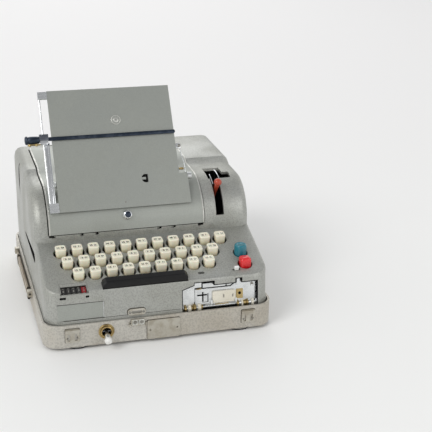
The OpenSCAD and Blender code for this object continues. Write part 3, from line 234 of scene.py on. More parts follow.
def shader_group(name, inputs, outputs, fill):
    """A node group with named inputs and outputs, filled by the function given."""
    kinds = {1: "NodeSocketFloat", 3: "NodeSocketVector", 4: "NodeSocketColor"}
    tree = bpy.data.node_groups.new(name, "ShaderNodeTree")
    for label, value in inputs.items():
        count = 1 if isinstance(value, float) else len(value)
        tree.interface.new_socket(label, in_out="INPUT", socket_type=kinds[count]).default_value = value
    for label, count in outputs.items():
        tree.interface.new_socket(label, in_out="OUTPUT", socket_type=kinds[count])
    graph = Graph(tree)
    made = fill(graph, graph.node("NodeGroupInput").outputs)
    graph.node("NodeGroupOutput", made)
    return tree


GREY = (0.5, 0.5, 0.5, 1.0)


def fill_enamel(graph, given):
    """Paint with soft mottling, grime in patches and small chips down to the metal."""
    where = graph.coordinates()
    soft = graph.band(graph.noise(where, 16.0, 4.0), 0.35, 0.68)
    grain = graph.noise(where, 1100.0, 2.0)
    flake = graph.noise(where, 75.0, 9.0, 0.68)
    tone = graph.mix(graph.math("MULTIPLY", soft, given["Dirt"]), given["Color"], given["Dirt Color"])
    tone = graph.tint(tone, graph.band(grain, 0.3, 0.7, 0.93, 1.05))
    edge = graph.math("SUBTRACT", 0.78, graph.math("MULTIPLY", given["Wear"], 0.3))
    chipped = graph.band(flake, edge, graph.math("ADD", edge, 0.025))
    rough = graph.math("ADD", given["Roughness"], graph.band(soft, 0.0, 1.0, -0.05, 0.06))
    return {"Color": graph.mix(chipped, tone, given["Chip Color"]),
            "Roughness": graph.math("ADD", rough, graph.math("MULTIPLY", chipped, 0.12)),
            "Chips": chipped,
            "Height": graph.math("SUBTRACT", grain, chipped)}


def fill_hammer(graph, given):
    """Small shallow dimples, as hammered enamel has."""
    where = graph.coordinates()
    drift = graph.node("ShaderNodeTexNoise", {"Vector": where, "Scale": 260.0}).outputs[1]
    bent = graph.vector("ADD", where, graph.vector("MULTIPLY", drift, (0.0016, 0.0016, 0.0016)))
    cells = graph.node("ShaderNodeTexVoronoi", {"Vector": bent, "Scale": given["Cells"], "Smoothness": 0.7},
                       feature="SMOOTH_F1").outputs[0]
    return {"Height": graph.band(cells, 0.0, 0.75), "Tone": graph.band(cells, 0.1, 0.7)}


def fill_metal(graph, given):
    """Bare metal with drawn grain and patches of tarnish."""
    where = graph.coordinates()
    lines = graph.noise(graph.vector("MULTIPLY", where, given["Grain"]), 1.0, 3.0)
    patch = graph.band(graph.noise(where, 90.0, 5.0, 0.6), 0.42, 0.72)
    tone = graph.mix(graph.math("MULTIPLY", patch, given["Tarnish"]), given["Color"], given["Tarnish Color"])
    rough = graph.math("ADD", given["Roughness"], graph.band(lines, 0.3, 0.7, -0.06, 0.08))
    return {"Color": tone,
            "Roughness": graph.math("ADD", rough, graph.math("MULTIPLY", patch, 0.12), clamp=True),
            "Height": lines}


def fill_plastic(graph, given):
    """Moulded plastic, darker and yellower towards its foot as painted shade on its sides together with
    yellowing, and with smudges.
    """
    where = graph.coordinates()
    low = graph.node("ShaderNodeSeparateXYZ", {0: graph.coordinates("Generated")}).outputs[2]
    smudge = graph.band(graph.noise(where, 240.0, 4.0, 0.6), 0.45, 0.75)
    # Painted shade and yellowing: the lower part of each piece turns to the foot colour, standing in for the
    # shade on its sides as well as for age
    foot = graph.band(low, 0.55, 0.97, 1.0, 0.0)
    foot_mix = graph.math("ADD", foot, graph.math("MULTIPLY", smudge, 0.35))
    share = graph.math("MULTIPLY", foot_mix, given["Foot Share"], clamp=True)
    return {"Color": graph.mix(share, given["Color"], given["Aged Color"]),
            "Roughness": graph.math("ADD", given["Roughness"], graph.math("MULTIPLY", smudge, 0.14)),
            "Height": graph.noise(where, 1500.0, 2.0)}


def build_groups():
    """The surface effects that several finishes share."""
    out = {"Color": 4, "Roughness": 1, "Height": 1}
    return {
        "enamel": shader_group("Enamel", {
            "Color": GREY, "Dirt Color": GREY, "Chip Color": GREY, "Dirt": 0.3, "Wear": 0.1,
            "Roughness": 0.4}, {**out, "Chips": 1}, fill_enamel),
        "hammer": shader_group("Hammer dimples", {"Cells": 620.0}, {"Height": 1, "Tone": 1}, fill_hammer),
        "metal": shader_group("Worn metal", {
            "Color": GREY, "Tarnish Color": GREY, "Tarnish": 0.3, "Roughness": 0.3,
            "Grain": (60.0, 60.0, 2500.0)}, out, fill_metal),
        "plastic": shader_group("Plastic with shaded, aged foot", {
            "Color": GREY, "Aged Color": GREY, "Foot Share": 0.5, "Roughness": 0.25}, out, fill_plastic),
    }


GROUPS = {}


def finish(name, group, inputs, depth=0.02, reach=0.0004, cells=None, **shader):
    """A material whose colour, roughness and bump come from one of the shared effects."""
    material = bpy.data.materials.new(name)
    material.use_nodes = True
    tree = material.node_tree
    graph = Graph(tree)
    surface = tree.nodes["Principled BSDF"]
    effect = graph.node("ShaderNodeGroup", node_tree=GROUPS[group])
    for key, value in inputs.items():
        effect.inputs[key].default_value = value
    tone, height = effect.outputs["Color"], effect.outputs["Height"]
    if cells:
        dimples = graph.node("ShaderNodeGroup", node_tree=GROUPS["hammer"])
        dimples.inputs["Cells"].default_value = cells
        tone = graph.tint(tone, graph.band(dimples.outputs["Tone"], 0.0, 1.0, 0.88, 1.07))
        height = graph.math("ADD", graph.math("MULTIPLY", height, 0.15), dimples.outputs["Height"])
    bump = graph.node("ShaderNodeBump", {"Strength": depth, "Distance": reach, "Height": height})
    tree.links.new(tone, surface.inputs["Base Color"])
    tree.links.new(effect.outputs["Roughness"], surface.inputs["Roughness"])
    tree.links.new(bump.outputs[0], surface.inputs["Normal"])
    for key, value in shader.items():
        surface.inputs[key.replace("_", " ")].default_value = value
    return material


def enamel(name, tone, dirt_tone, dirt=0.35, wear=0.1, rough=0.42, **rest):
    return finish(name, "enamel", {"Color": tone, "Dirt Color": dirt_tone, "Chip Color": paint(120, 112, 100),
                                   "Dirt": dirt, "Wear": wear, "Roughness": rough}, **rest)


def metal(name, tone, tarnish_tone, tarnish=0.35, rough=0.28, grain=(60.0, 60.0, 2500.0), **rest):
    return finish(name, "metal", {"Color": tone, "Tarnish Color": tarnish_tone, "Tarnish": tarnish,
                                  "Roughness": rough, "Grain": grain}, Metallic=1.0, **rest)


def plastic(name, tone, foot_mix, foot_share=0.5, rough=0.25, **rest):
    return finish(name, "plastic", {"Color": tone, "Aged Color": foot_mix, "Foot Share": foot_share, "Roughness": rough},
                  **rest)


class Shape:
    """A mesh under construction, in millimetres."""

    def __init__(self):
        self.mesh = bmesh.new()

    def add(self, part, at=IDENTITY, finish=0):
        """Takes over a finished part, moved to its place and given one of the piece's finishes."""
        part.transform(at)
        for face in part.faces:
            face.material_index = finish
        held = bpy.data.meshes.new("held")
        part.to_mesh(held)
        part.free()
        self.mesh.from_mesh(held)
        bpy.data.meshes.remove(held)
        return self

    def loft(self, rings, at=IDENTITY, finish=0, closed=False):
        """Skin through rings of points, with a face on each end unless the rings close on themselves."""
        part = bmesh.new()
        rows = [[part.verts.new(point) for point in ring] for ring in rings]
        pairs = list(zip(rows, rows[1:])) + ([(rows[-1], rows[0])] if closed else [])
        for low, high in pairs:
            for i in range(len(low)):
                j = (i + 1) % len(low)
                part.faces.new((low[i], low[j], high[j], high[i]))
        if not closed:
            part.faces.new(list(reversed(rows[0])))
            part.faces.new(rows[-1])
        bmesh.ops.recalc_face_normals(part, faces=part.faces)
        return self.add(part, at, finish)

    def lathe(self, profile, at=IDENTITY, finish=0, steps=48):
        """Round shape about Z from (radius, height) pairs; it is a ring where the last pair is the first."""
        part = bmesh.new()
        rows = []
        for radius, height in profile:
            if radius < 1e-6:
                rows.append([part.verts.new((0, 0, height))])
                continue
            rows.append([part.verts.new((radius * math.cos(a), radius * math.sin(a), height))
                         for a in (2 * math.pi * i / steps for i in range(steps))])
        for low, high in zip(rows, rows[1:]):
            for i in range(steps):
                j = (i + 1) % steps
                if len(low) == 1 and len(high) == 1:
                    continue
                if len(low) == 1:
                    part.faces.new((low[0], high[j], high[i]))
                elif len(high) == 1:
                    part.faces.new((low[i], low[j], high[0]))
                else:
                    part.faces.new((low[i], low[j], high[j], high[i]))
        if profile[0] == profile[-1]:
            bmesh.ops.remove_doubles(part, verts=rows[0] + rows[-1], dist=1e-6)
        else:
            for row in (rows[0], rows[-1]):
                if len(row) > 1:
                    part.faces.new(row)
        bmesh.ops.recalc_face_normals(part, faces=part.faces)
        return self.add(part, at, finish)

    def slab(self, loops, low, high, at=IDENTITY, finish=0, bevel=0.25):
        """Plate between two heights, from an outline and any holes in it, with its rims eased."""
        if not isinstance(loops[0][0], (tuple, list)):
            loops = [loops]
        part = bmesh.new()
        points = [point for loop in loops for point in loop]
        bottom = [part.verts.new((x, y, low)) for x, y in points]
        top = [part.verts.new((x, y, high)) for x, y in points]
        for face in tessellate_polygon([[Vector((x, y, 0)) for x, y in loop] for loop in loops]):
            part.faces.new([top[i] for i in face])
            part.faces.new([bottom[i] for i in reversed(face)])
        start = 0
        for loop in loops:
            for i in range(len(loop)):
                j = start + (i + 1) % len(loop)
                part.faces.new((bottom[start + i], bottom[j], top[j], top[start + i]))
            start += len(loop)
        bmesh.ops.recalc_face_normals(part, faces=part.faces)
        if bevel:
            rims = [edge for edge in part.edges if edge.calc_face_angle(0.0) > 0.6]
            bmesh.ops.bevel(part, geom=rims, offset=bevel, segments=2, profile=0.6, affect="EDGES",
                            clamp_overlap=True)
        return self.add(part, at, finish)

    def block(self, low, high, at=IDENTITY, finish=0, bevel=0.25):
        """Box between two corners with eased edges."""
        (x0, y0, z0), (x1, y1, z1) = low, high
        return self.slab([(x0, y0), (x1, y0), (x1, y1), (x0, y1)], z0, z1, at, finish, bevel)

    def rod(self, start, end, radius, finish=0, steps=16, at=IDENTITY):
        """Round rod between two points with its ends slightly rounded."""
        start, end = Vector(start), Vector(end)
        reach = (end - start).length
        ease = min(radius * 0.3, reach * 0.2)
        profile = [(0, 0), (radius - ease, 0), (radius, ease), (radius, reach - ease), (radius - ease, reach),
                   (0, reach)]
        turn = (end - start).to_track_quat("Z", "Y").to_matrix().to_4x4()
        return self.lathe(profile, at @ Matrix.Translation(start) @ turn, finish, steps)

    def words(self, text, height, at=IDENTITY, finish=0):
        """Flat figures in Blender's own typeface, centred."""
        curve = bpy.data.curves.new("figures", "FONT")
        curve.body = text
        curve.size = height * 1.4
        curve.offset = height * 0.035
        curve.align_x = "CENTER"
        curve.align_y = "CENTER"
        curve.resolution_u = 2
        holder = bpy.data.objects.new("figures", curve)
        bpy.context.scene.collection.objects.link(holder)
        drawn = bpy.data.meshes.new_from_object(holder)
        part = bmesh.new()
        part.from_mesh(drawn)
        bpy.data.objects.remove(holder)
        bpy.data.curves.remove(curve)
        bpy.data.meshes.remove(drawn)
        return self.add(part, at, finish)

    def make(self, name, body, slot, finishes, at, replaces=()):
        """The shape as a piece of the machine that rides on a body."""
        self.mesh.transform(at)
        mesh = bpy.data.meshes.new(name)
        self.mesh.to_mesh(mesh)
        self.mesh.free()
        for label in finishes:
            mesh.materials.append(bpy.data.materials[label])
        mesh.shade_smooth()
        mesh.set_sharp_from_angle(angle=SMOOTH_ANGLE)
        piece = bpy.data.objects.new(name, mesh)
        bpy.context.scene.collection.objects.link(piece)
        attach(piece, body)
        if replaces:
            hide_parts(*replaces)
        return piece


def arc(x, y, radius, start, end, steps):
    angles = [math.radians(start + (end - start) * i / steps) for i in range(steps + 1)]
    return [(x + radius * math.cos(a), y + radius * math.sin(a)) for a in angles]


def rounded(width, depth, radius, steps=5, x=0.0, y=0.0):
    """Corners of a rectangle with round corners, about a middle."""
    across, up = width / 2 - radius, depth / 2 - radius
    corners = ((across, up, 0), (-across, up, 90), (-across, -up, 180), (across, -up, 270))
    return [point for dx, dy, start in corners
            for point in arc(x + dx, y + dy, radius, start, start + 90, steps)]


def circle(x, y, radius, steps=20):
    return arc(x, y, radius, 0, 360 * (steps - 1) / steps, steps - 1)


def offset_path(points, distance):
    """An open line moved to its left by a distance, with mitred corners."""
    moved = []
    for i, (x, y) in enumerate(points):
        before = Vector(points[i]) - Vector(points[i - 1]) if i else None
        after = Vector(points[i + 1]) - Vector(points[i]) if i + 1 < len(points) else None
        first = (before or after).normalized()
        second = (after or before).normalized()
        normal = Vector((-first.y - second.y, first.x + second.x)).normalized()
        stretch = max(0.35, normal.dot(Vector((-first.y, first.x))))
        moved.append((x + normal.x * distance / stretch, y + normal.y * distance / stretch))
    return moved


def ring_part(y, z, outer, inner, first, last, steps):
    """Side view of part of a ring, between two radii and two angles."""
    return arc(y, z, outer, first, last, steps) + arc(y, z, inner, last, first, steps)


def toothed(x, radius, notch, count):
    """Ring about X whose every other point is sunk by a share of its radius."""
    ring = []
    for i in range(count):
        angle, reach = 2 * math.pi * i / count, radius * (1 - notch * (i % 2))
        ring.append((x, reach * math.cos(angle), reach * math.sin(angle)))
    return ring


def lid_line(out):
    """Side view of the lid's outer face, moved out by a distance."""
    return (arc(HUMP_Y, HUMP_Z, HUMP_R + LID_PROUD + out, 180 - LID_START, 90, 18)
            + [(LID_STEP[0][0], LID_STEP[0][1] + out), (LID_STEP[1][0], LID_STEP[1][1] + out),
               (LID_REAR, LID_STEP[1][1] + out)])


def lid_band(outer, inner):
    """Side view of a thin band along the lid, between two distances from its outer face."""
    return lid_line(outer) + lid_line(inner)[::-1]


def key_top(node):
    """The middle of a key's top in the frame, and the key's height in millimetres."""
    low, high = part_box(node)
    middle = Matrix.Translation(((low.x + high.x) / 2, (low.y + high.y) / 2, high.z))
    return middle @ Matrix.Scale(MM, 4), (high.z - low.z) / MM


def tray_front(x, z, y=TRAY_FRONT, tilt=90.0):
    """A place on the tray's front, whose own Z points outwards."""
    return MACHINE @ place(x, y, z, tilt)


def smooth_nodes():
    """Gives every part of the frame even shading with crisp edges."""
    tree = bpy.data.node_groups.new("Crisp edges", "GeometryNodeTree")
    tree.interface.new_socket("Geometry", in_out="INPUT", socket_type="NodeSocketGeometry")
    tree.interface.new_socket("Geometry", in_out="OUTPUT", socket_type="NodeSocketGeometry")
    graph = Graph(tree)
    given = graph.node("NodeGroupInput").outputs[0]
    plain = graph.node("GeometryNodeRemoveAttribute", {"Geometry": given, "Name": "custom_normal"})
    even = graph.node("GeometryNodeSetShadeSmooth", {"Geometry": plain.outputs[0], "Shade Smooth": True},
                      domain="FACE")
    angle = graph.node("GeometryNodeInputMeshEdgeAngle").outputs[0]
    sharp = graph.node("FunctionNodeCompare", {"A": angle, "B": math.radians(30)}, operation="GREATER_THAN")
    crisp = graph.node("GeometryNodeSetShadeSmooth", {
        "Geometry": even.outputs[0], "Selection": sharp.outputs[0], "Shade Smooth": False}, domain="EDGE")
    graph.node("NodeGroupOutput", {0: crisp.outputs[0]})
    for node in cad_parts.values():
        weld = node.modifiers.new("Join seams", "WELD")
        weld.merge_threshold = 1e-6
        node.modifiers.new("Crisp edges", "NODES").node_group = tree


NODE_FINISHES = {
    "tray enamel": ("base_tray",),
    "feet rubber": ("tray_feet",),
    "worn plating": ("front_plate", "tray_lugs", "front_catch", "catch_keeper"),
    "strap leather": ("carry_handle",),
    "collar brass": ("switch_collar", "feed_rollers"),
    "ball white": ("switch_lever", "slide_switch"),
    "casing enamel": ("casing", "counter_frame"),
    "lid enamel": ("rotor_lid", "document_plate"),
    "bright steel and highlight": ("lid_pins", "reader_plate", "rotor_axle", "plate_rail"),
    "chrome": ("lid_knob",),
    "ruler steel": ("line_ruler",),
    "lever enamel": ("mode_lever",),
    "bar plastic": ("space_bar",),
    "teal plastic": ("start_key",),
    "red plastic": ("stop_key",),
    "wheel black": ("counter_wheels",),
    "gate enamel": ("tape_gate",),
    "chassis primer": ("chassis",),
    "rotor brass": ("rotor_drum",),
    "motor enamel": ("drive_motor",),
    "key plastic": tuple(f"key_{i:02d}" for i in range(1, 31)),
}


class MACHINE_OT_finishes(bpy.types.Operator):
    """Builds the finishes and gives each part of the frame its own"""
    bl_idname = "machine.finishes"
    bl_label = "Finishes"

    def execute(self, context):
        GROUPS.update(build_groups())
        tones = context.scene.machine_colours
        steel = paint(196, 198, 198)
        enamel("casing enamel", tones.casing, paint(150, 150, 140), 0.45, 0.06, 0.43, depth=0.32,
               reach=0.0003, cells=560.0, Metallic=0.62)
        enamel("lid enamel", tones.lid, paint(146, 148, 140), 0.35, 0.05, 0.42, depth=0.1, Metallic=0.6)
        enamel("tray enamel", tones.tray, paint(168, 158, 140), 0.5, 0.22, 0.46, depth=0.25, cells=420.0,
               Metallic=0.5)
        enamel("lever enamel", tones.lever, paint(110, 44, 30), 0.8, 0.3, 0.36, depth=0.15, Coat_Weight=0.2)
        enamel("gate enamel", tones.gate, paint(204, 194, 168), 0.5, 0.05, 0.34, depth=0.1)
        enamel("chassis primer", paint(120, 122, 118), paint(84, 80, 70), 0.6, 0.2, 0.6, depth=0.2)
        enamel("motor enamel", paint(62, 68, 64), paint(40, 40, 36), 0.5, 0.2, 0.5, depth=0.3, cells=500.0)
        enamel("wheel red", paint(160, 26, 34), paint(90, 16, 20), 0.6, 0.05, 0.34, depth=0.1)
        enamel("wheel black", paint(24, 24, 26), paint(52, 50, 46), 0.4, 0.05, 0.34, depth=0.1)
        enamel("figure white", paint(150, 150, 144), paint(110, 106, 96), 0.5, 0.05, 0.5, depth=0.05)
        # Ink for the figures and marks; the line along the top of the bare plate uses it as painted shade
        enamel("figure ink and shade line", paint(22, 20, 22), paint(40, 36, 34), 0.6, 0.0, 0.5, depth=0.05)
        # Grime and painted shade: the dark brown of the outlines round the front fittings and the lines along
        # the apron, also used for the strap's loops
        enamel("grime", paint(58, 52, 44), paint(34, 30, 26), 0.7, 0.0, 0.8, depth=0.1,
               Specular_IOR_Level=0.15)
        # Painted shade: flat black put in gaps, holes and openings where there is only shade
        enamel("painted shade black", paint(14, 14, 14), paint(30, 28, 26), 0.5, 0.0, 0.7, depth=0.1,
               Specular_IOR_Level=0.1)
        enamel("feet rubber", paint(32, 31, 30), paint(74, 70, 64), 0.6, 0.05, 0.8, depth=0.4, cells=900.0)
        metal("worn plating", paint(196, 192, 181), paint(150, 138, 116), 0.5, 0.4, depth=0.12)
        # Bright steel for the steel parts; the strip at the bare plate's right edge uses it as a painted
        # highlight
        metal("bright steel and highlight", paint(226, 228, 228), steel, 0.5, 0.24, depth=0.06)
        metal("chrome", paint(232, 234, 236), steel, 0.2, 0.08, depth=0.01)
        # Worn steel for edges; on the lid's sides it also stands in as a painted highlight
        metal("edge steel and highlight", paint(206, 206, 200), paint(160, 158, 150), 0.5, 0.42, depth=0.06)
        metal("ruler steel", tones.ruler, paint(92, 100, 112), 0.5, 0.34, grain=(2500.0, 60.0, 60.0),
              depth=0.08)
        metal("collar brass", paint(188, 166, 116), paint(104, 84, 50), 0.75, 0.3, depth=0.06)
        metal("rotor brass", paint(190, 164, 114), paint(120, 98, 62), 0.5, 0.34, depth=0.06)
        metal("dark steel", paint(112, 116, 124), paint(66, 66, 70), 0.5, 0.3, depth=0.05)
        metal("screw steel", paint(150, 148, 142), paint(120, 116, 106), 0.6, 0.36, depth=0.05)
        plastic("key plastic", tones.keys, tones.keys_foot_shade_and_age, 0.85, 0.24, depth=0.03, Subsurface_Weight=0.08,
                Subsurface_Scale=0.002, Coat_Weight=0.25, Coat_Roughness=0.12)
        plastic("bar plastic", tones.space_bar, paint(34, 33, 31), 0.3, 0.3, depth=0.04,
                Specular_IOR_Level=0.3)
        plastic("teal plastic", tones.start_key, paint(12, 70, 84), 0.4, 0.2, depth=0.03, Coat_Weight=0.4)
        plastic("red plastic", tones.stop_key, paint(150, 20, 26), 0.35, 0.24, depth=0.03, Coat_Weight=0.3)
        plastic("ball white", paint(240, 240, 238), paint(206, 202, 190), 0.3, 0.16, depth=0.02,
                Coat_Weight=0.4)
        finish("strap leather", "enamel", {
            "Color": tones.strap, "Dirt Color": paint(112, 98, 82), "Chip Color": paint(176, 164, 146),
            "Dirt": 0.8, "Wear": 0.35, "Roughness": 0.58}, depth=0.5, reach=0.0005, cells=1100.0)
        for label, names in NODE_FINISHES.items():
            for name in names:
                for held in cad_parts[name].material_slots:
                    held.material = bpy.data.materials[label]
        smooth_nodes()
        return {"FINISHED"}


class MACHINE_OT_camera(bpy.types.Operator):
    """Sets the camera where the picture of the machine was taken from"""
    bl_idname = "machine.camera"
    bl_label = "Camera"

    def execute(self, context):
        made = bpy.data.objects.new("camera", bpy.data.cameras.new("camera"))
        context.scene.collection.objects.link(made)
        azimuth, elevation, roll = (math.radians(a) for a in (VIEW_AZIMUTH, VIEW_ELEVATION, VIEW_ROLL))
        back = Vector((math.sin(azimuth) * math.cos(elevation), -math.cos(azimuth) * math.cos(elevation),
                       math.sin(elevation)))
        made.location = MACHINE @ Vector(VIEW_FROM)
        made.rotation_mode = "QUATERNION"
        made.rotation_quaternion = (-back).to_track_quat("-Z", "Y") @ Quaternion((0, 0, 1), roll)
        made.data.sensor_width = 36.0
        made.data.lens = VIEW_LENS
        made.data.shift_y = VIEW_SHIFT
        made.data.clip_start = 0.05
        made.data.clip_end = 30.0
        context.scene.camera = made
        return {"FINISHED"}


# Rings of a key cap from its foot to its dished top: inset, drop below the top, share of the top's slope.
# Only the two rings of the foot move when the height of the keys is changed.
KEY_RINGS = ((1.15, 15.0, 0), (0.75, 14.4, 0), (0.35, 7.0, 0), (0.02, 2.2, 0.6), (0.0, 1.4, 0.9),
             (0.12, 0.8, 1), (0.4, 0.3, 1), (0.8, 0.05, 1), (1.25, 0.0, 1), (1.7, 0.12, 1), (2.2, 0.42, 1),
             (3.0, 0.5, 1))
KEY_FOOT, KEY_DISH, KEY_SLOPE = 14.0, 0.44, 7.5


class MACHINE_OT_keys(bpy.types.Operator):
    """Adds the thirty dished key caps with their numbers and stems"""
    bl_idname = "machine.keys"
    bl_label = "Keys"

    def execute(self, context):
        size, slope = sizes(), math.tan(math.radians(KEY_SLOPE))
        stretch = size.key_height - KEY_RINGS[0][1]
        rings = []
        for inset, drop, lean in KEY_RINGS:
            corner = max(size.key_corner - inset * 0.4, 0.6)
            outline = rounded(size.key_width - 2 * inset, size.key_depth - 2 * inset, corner)
            low = drop + (stretch if drop > KEY_FOOT else 0)
            rings.append([(x, y, -low + lean * slope * (y - size.key_depth / 2)) for x, y in outline])
        face = place(0, 0, -KEY_DISH - slope * size.key_depth / 2, KEY_SLOPE)
        for index in range(1, 31):
            node = f"key_{index:02d}"
            base, height = key_top(node)
            shape = Shape().loft(rings)
            shape.rod((0, 0, -height), (0, 0, 1 - size.key_height), size.stem_width / 2, 2)
            shape.words(f"{index:02d} {(index * 7) % 30 + 1:02d}", size.legend_height, face, 1)
            shape.make(f"{node}_cap", node, "key_cream", ("key plastic", "figure ink and shade line", "bright steel and highlight"), base,
                       (node,))
        return {"FINISHED"}


class MACHINE_OT_space_bar(bpy.types.Operator):
    """Adds the space bar with its two stems"""
    bl_idname = "machine.space_bar"
    bl_label = "Space bar"

    def execute(self, context):
        size = sizes()
        rings = []
        for across, along, height in ((0.4, 0.4, -3.0), (0.0, 0.0, -2.4), (0.0, 0.0, 4.6), (0.5, 0.25, 5.2),
                                      (3.2, 1.3, 8.4), (3.9, 1.9, 8.95), (5.0, 2.8, 9.0)):
            outline = rounded(size.bar_width - 2 * across, size.bar_depth - 2 * along, 1.5)
            rings.append([(x, y, height) for x, y in outline])
        shape = Shape().loft(rings)
        for x in (-34, 34):
            shape.rod((x, 1, -28.4), (x, 1, -2.6), size.stem_width / 2, 1)
        shape.make("space_bar_cap", "space_bar", "bar_black", ("bar plastic", "bright steel and highlight"),
                   DECK @ place(BAR_X, BAR_U), ("space_bar",))
        return {"FINISHED"}


def start_cap(radius):
    """The round cap of the start key, with a dished top."""
    return Shape().lathe([(0, -15), (radius - 0.5, -15), (radius, -14.4), (radius, -2.4),
                          (radius - 0.3, -1.2), (radius - 0.9, -0.4), (radius - 1.6, -0.05),
                          (radius - 2.4, -0.05), (radius - 3.2, -0.4), (0, -0.9)])


def stop_cap(width):
    """The square cap of the stop key, with a domed top."""
    rings = []
    for inset, drop in ((0.4, 15.0), (0.0, 14.4), (0.0, 3.4), (0.25, 2.2), (0.8, 1.2), (1.7, 0.5),
                        (3.0, 0.15), (4.4, 0.0)):
        outline = rounded(width - 2 * inset, width - 2 * inset, max(3.0 - inset * 0.3, 0.8))
        rings.append([(x, y, -drop) for x, y in outline])
    return Shape().loft(rings)


class MACHINE_OT_start_and_stop(bpy.types.Operator):
    """Adds the teal start key and the red stop key"""
    bl_idname = "machine.start_and_stop"
    bl_label = "Start and stop keys"

    def execute(self, context):
        size = sizes()
        for node, shape, slot, label in (
                ("start_key", start_cap(size.start_width / 2), "key_teal", "teal plastic"),
                ("stop_key", stop_cap(size.stop_width), "key_red", "red plastic")):
            base, height = key_top(node)
            shape.rod((0, 0, -height), (0, 0, -14), size.stem_width / 2, 1)
            shape.make(f"{node}_cap", node, slot, (label, "bright steel and highlight"), base, (node,))
        return {"FINISHED"}


class MACHINE_OT_document_plate(bpy.types.Operator):
    """Adds the boss with a black dot of painted shade in its hole, the rail's strip, the stay, a black disc
    of painted shade behind the window, and the rivet of the document plate
    """
    bl_idname = "machine.document_plate"
    bl_label = "Document plate fittings"

    def execute(self, context):
        middle = place(PLATE_LEFT + 82.5, 113.0)
        boss = Shape().lathe([(0, -0.5), (6.1, -0.5), (6.1, 0.32), (5.8, 0.5), (5.3, 0.5), (5.0, 0.2),
                              (3.4, 0.12), (3.1, 0.34), (2.6, 0.48), (1.2, 0.48), (0.9, -0.2), (0, -0.2)],
                             middle)
        # Painted shade: a black dot for the boss's centre hole
        boss.lathe([(0, -0.1), (0.75, -0.1), (0.6, 0.12), (0, 0.15)], middle, 1)
        boss.make("plate_boss", "document_plate", "lid_paint", ("edge steel and highlight", "painted shade black"), PLATE)
        strip = Shape().block((-113.2, 0.5, -5.0), (-109.4, 88.0, -4.1), bevel=0.2)
        strip.block((-112.8, 1.0, -4.6), (-109.8, 10.0, -2.4), bevel=0.2)
        strip.block((-109.2, 2.0, -5.4), (-107.2, 90.0, -4.3), bevel=0.3)
        strip.make("rail_strip", "document_plate", "bright_steel", ("chrome",), PLATE)
        stay = Shape().slab(rounded(8.0, 6.4, 2.0, x=53.2, y=74.6), -3.4, -2.4)
        stay.lathe([(0, 0), (2.0, 0), (2.0, 0.9), (1.5, 1.3), (0, 1.35)], place(55.2, 74.6, -2.5), 1)
        stay.rod((55.2, 74.6, -4.0), (59.3, 52.0, -4.0), 0.55)
        stay.rod((59.3, 52.0, -4.0), (59.6, 40.0, -5.0), 0.55)
        stay.rod((51.5, 45.2, -4.2), (57.5, 45.2, -4.2), 1.5, 2)
        stay.make("plate_stay", "document_plate", "bright_steel",
                  ("bright steel and highlight", "screw steel", "collar brass"), PLATE)
        # Painted shade: a black disc behind the window, where its inside would be in shade
        window = Shape().slab(circle(7.0, 35.3, 6.3, 28), -2.6, -2.1, bevel=0)
        window.make("window_shade", "document_plate", "foot_rubber", ("painted shade black",), PLATE)
        head = [(0, -0.5), (0.95, -0.5), (0.95, 0.05), (0.6, 0.25), (0, 0.3)]
        rivet = Shape().lathe(head, place(-22.0, 7.0))
        rivet.make("plate_rivet", "document_plate", "bright_steel", ("screw steel",), PLATE)
        return {"FINISHED"}


CLAMP_LEFT, CLAMP_RIGHT = -119.6, -108.6
RULER_LEFT = -109.6


def clamp_outline(left, low, right, high):
    """Side view of a clamp with the rail's hole in it."""
    return [[(left, low), (right, low), (right, high), (left, high)], circle(RAIL_X, RAIL_H, 1.4)]


def grip_profile(radius):
    """Half section of the ruler's turned grip, from its domed end to its foot."""
    return [(0, 1.0), (1.8, 0.9), (2.4, 0.2), (3.6, 0.0), (radius, 0.6), (radius + 0.5, 1.5),
            (radius + 0.55, 2.4), (radius + 0.2, 3.2), (radius - 0.7, 3.7), (radius - 0.3, 4.6),
            (radius + 0.05, 6.0), (radius + 0.1, 9.0), (radius - 0.1, 14.0), (radius - 0.5, 17.0),
            (radius - 1.0, 17.9), (0, 17.9)]


class MACHINE_OT_ruler(bpy.types.Operator):
    """Adds the line ruler with its clamp and grip"""
    bl_idname = "machine.ruler"
    bl_label = "Line ruler"

    def execute(self, context):
        size = sizes()
        half, right = size.ruler_width / 2, PLATE_RIGHT + 1.2
        bar = arc(right - half, RULER_U, half, -90, 90, 10)
        bar += [(RULER_LEFT, RULER_U + half), (RULER_LEFT, RULER_U - half)]
        shape = Shape().slab(bar, 0.7, 2.1, bevel=0.35)
        turned = place(0, RULER_U + 6, 0, 90)
        shape.slab(clamp_outline(CLAMP_LEFT, -3.5, CLAMP_RIGHT, 4.0), 0.0, 7.6, turned, 3, 0.7)
        shape.slab(clamp_outline(-118.9, -3.2, -109.2, 3.4), 7.8, 12.0, turned, 1, 0.5)
        shape.lathe(grip_profile(size.grip_width / 2), place(CLAMP_LEFT - 17.7, RULER_U, 0) @ ALONG_X)
        shape.block((-134.5, RULER_U - 6.6, -1.6), (-119.0, RULER_U - 5.2, 1.6), finish=2, bevel=0.3)
        for x in (-132.0, -123.5):
            shape.rod((x, RULER_U - 4.5, 0), (x, RULER_U - 7.6, 0), 1.7, 2)
        shape.make("ruler_body", "line_ruler", "ruler_dark",
                   ("ruler steel", "chrome", "collar brass", "dark steel"), PLATE, ("line_ruler",))
        return {"FINISHED"}


# Middle and width of each black notch of painted shade in the seam under the lid's front edge
SEAM_NOTCHES = ((-116.0, 6.0), (-78.0, 2.4), (-59.5, 2.6), (20.4, 2.4), (38.6, 2.4), (72.5, 7.0))


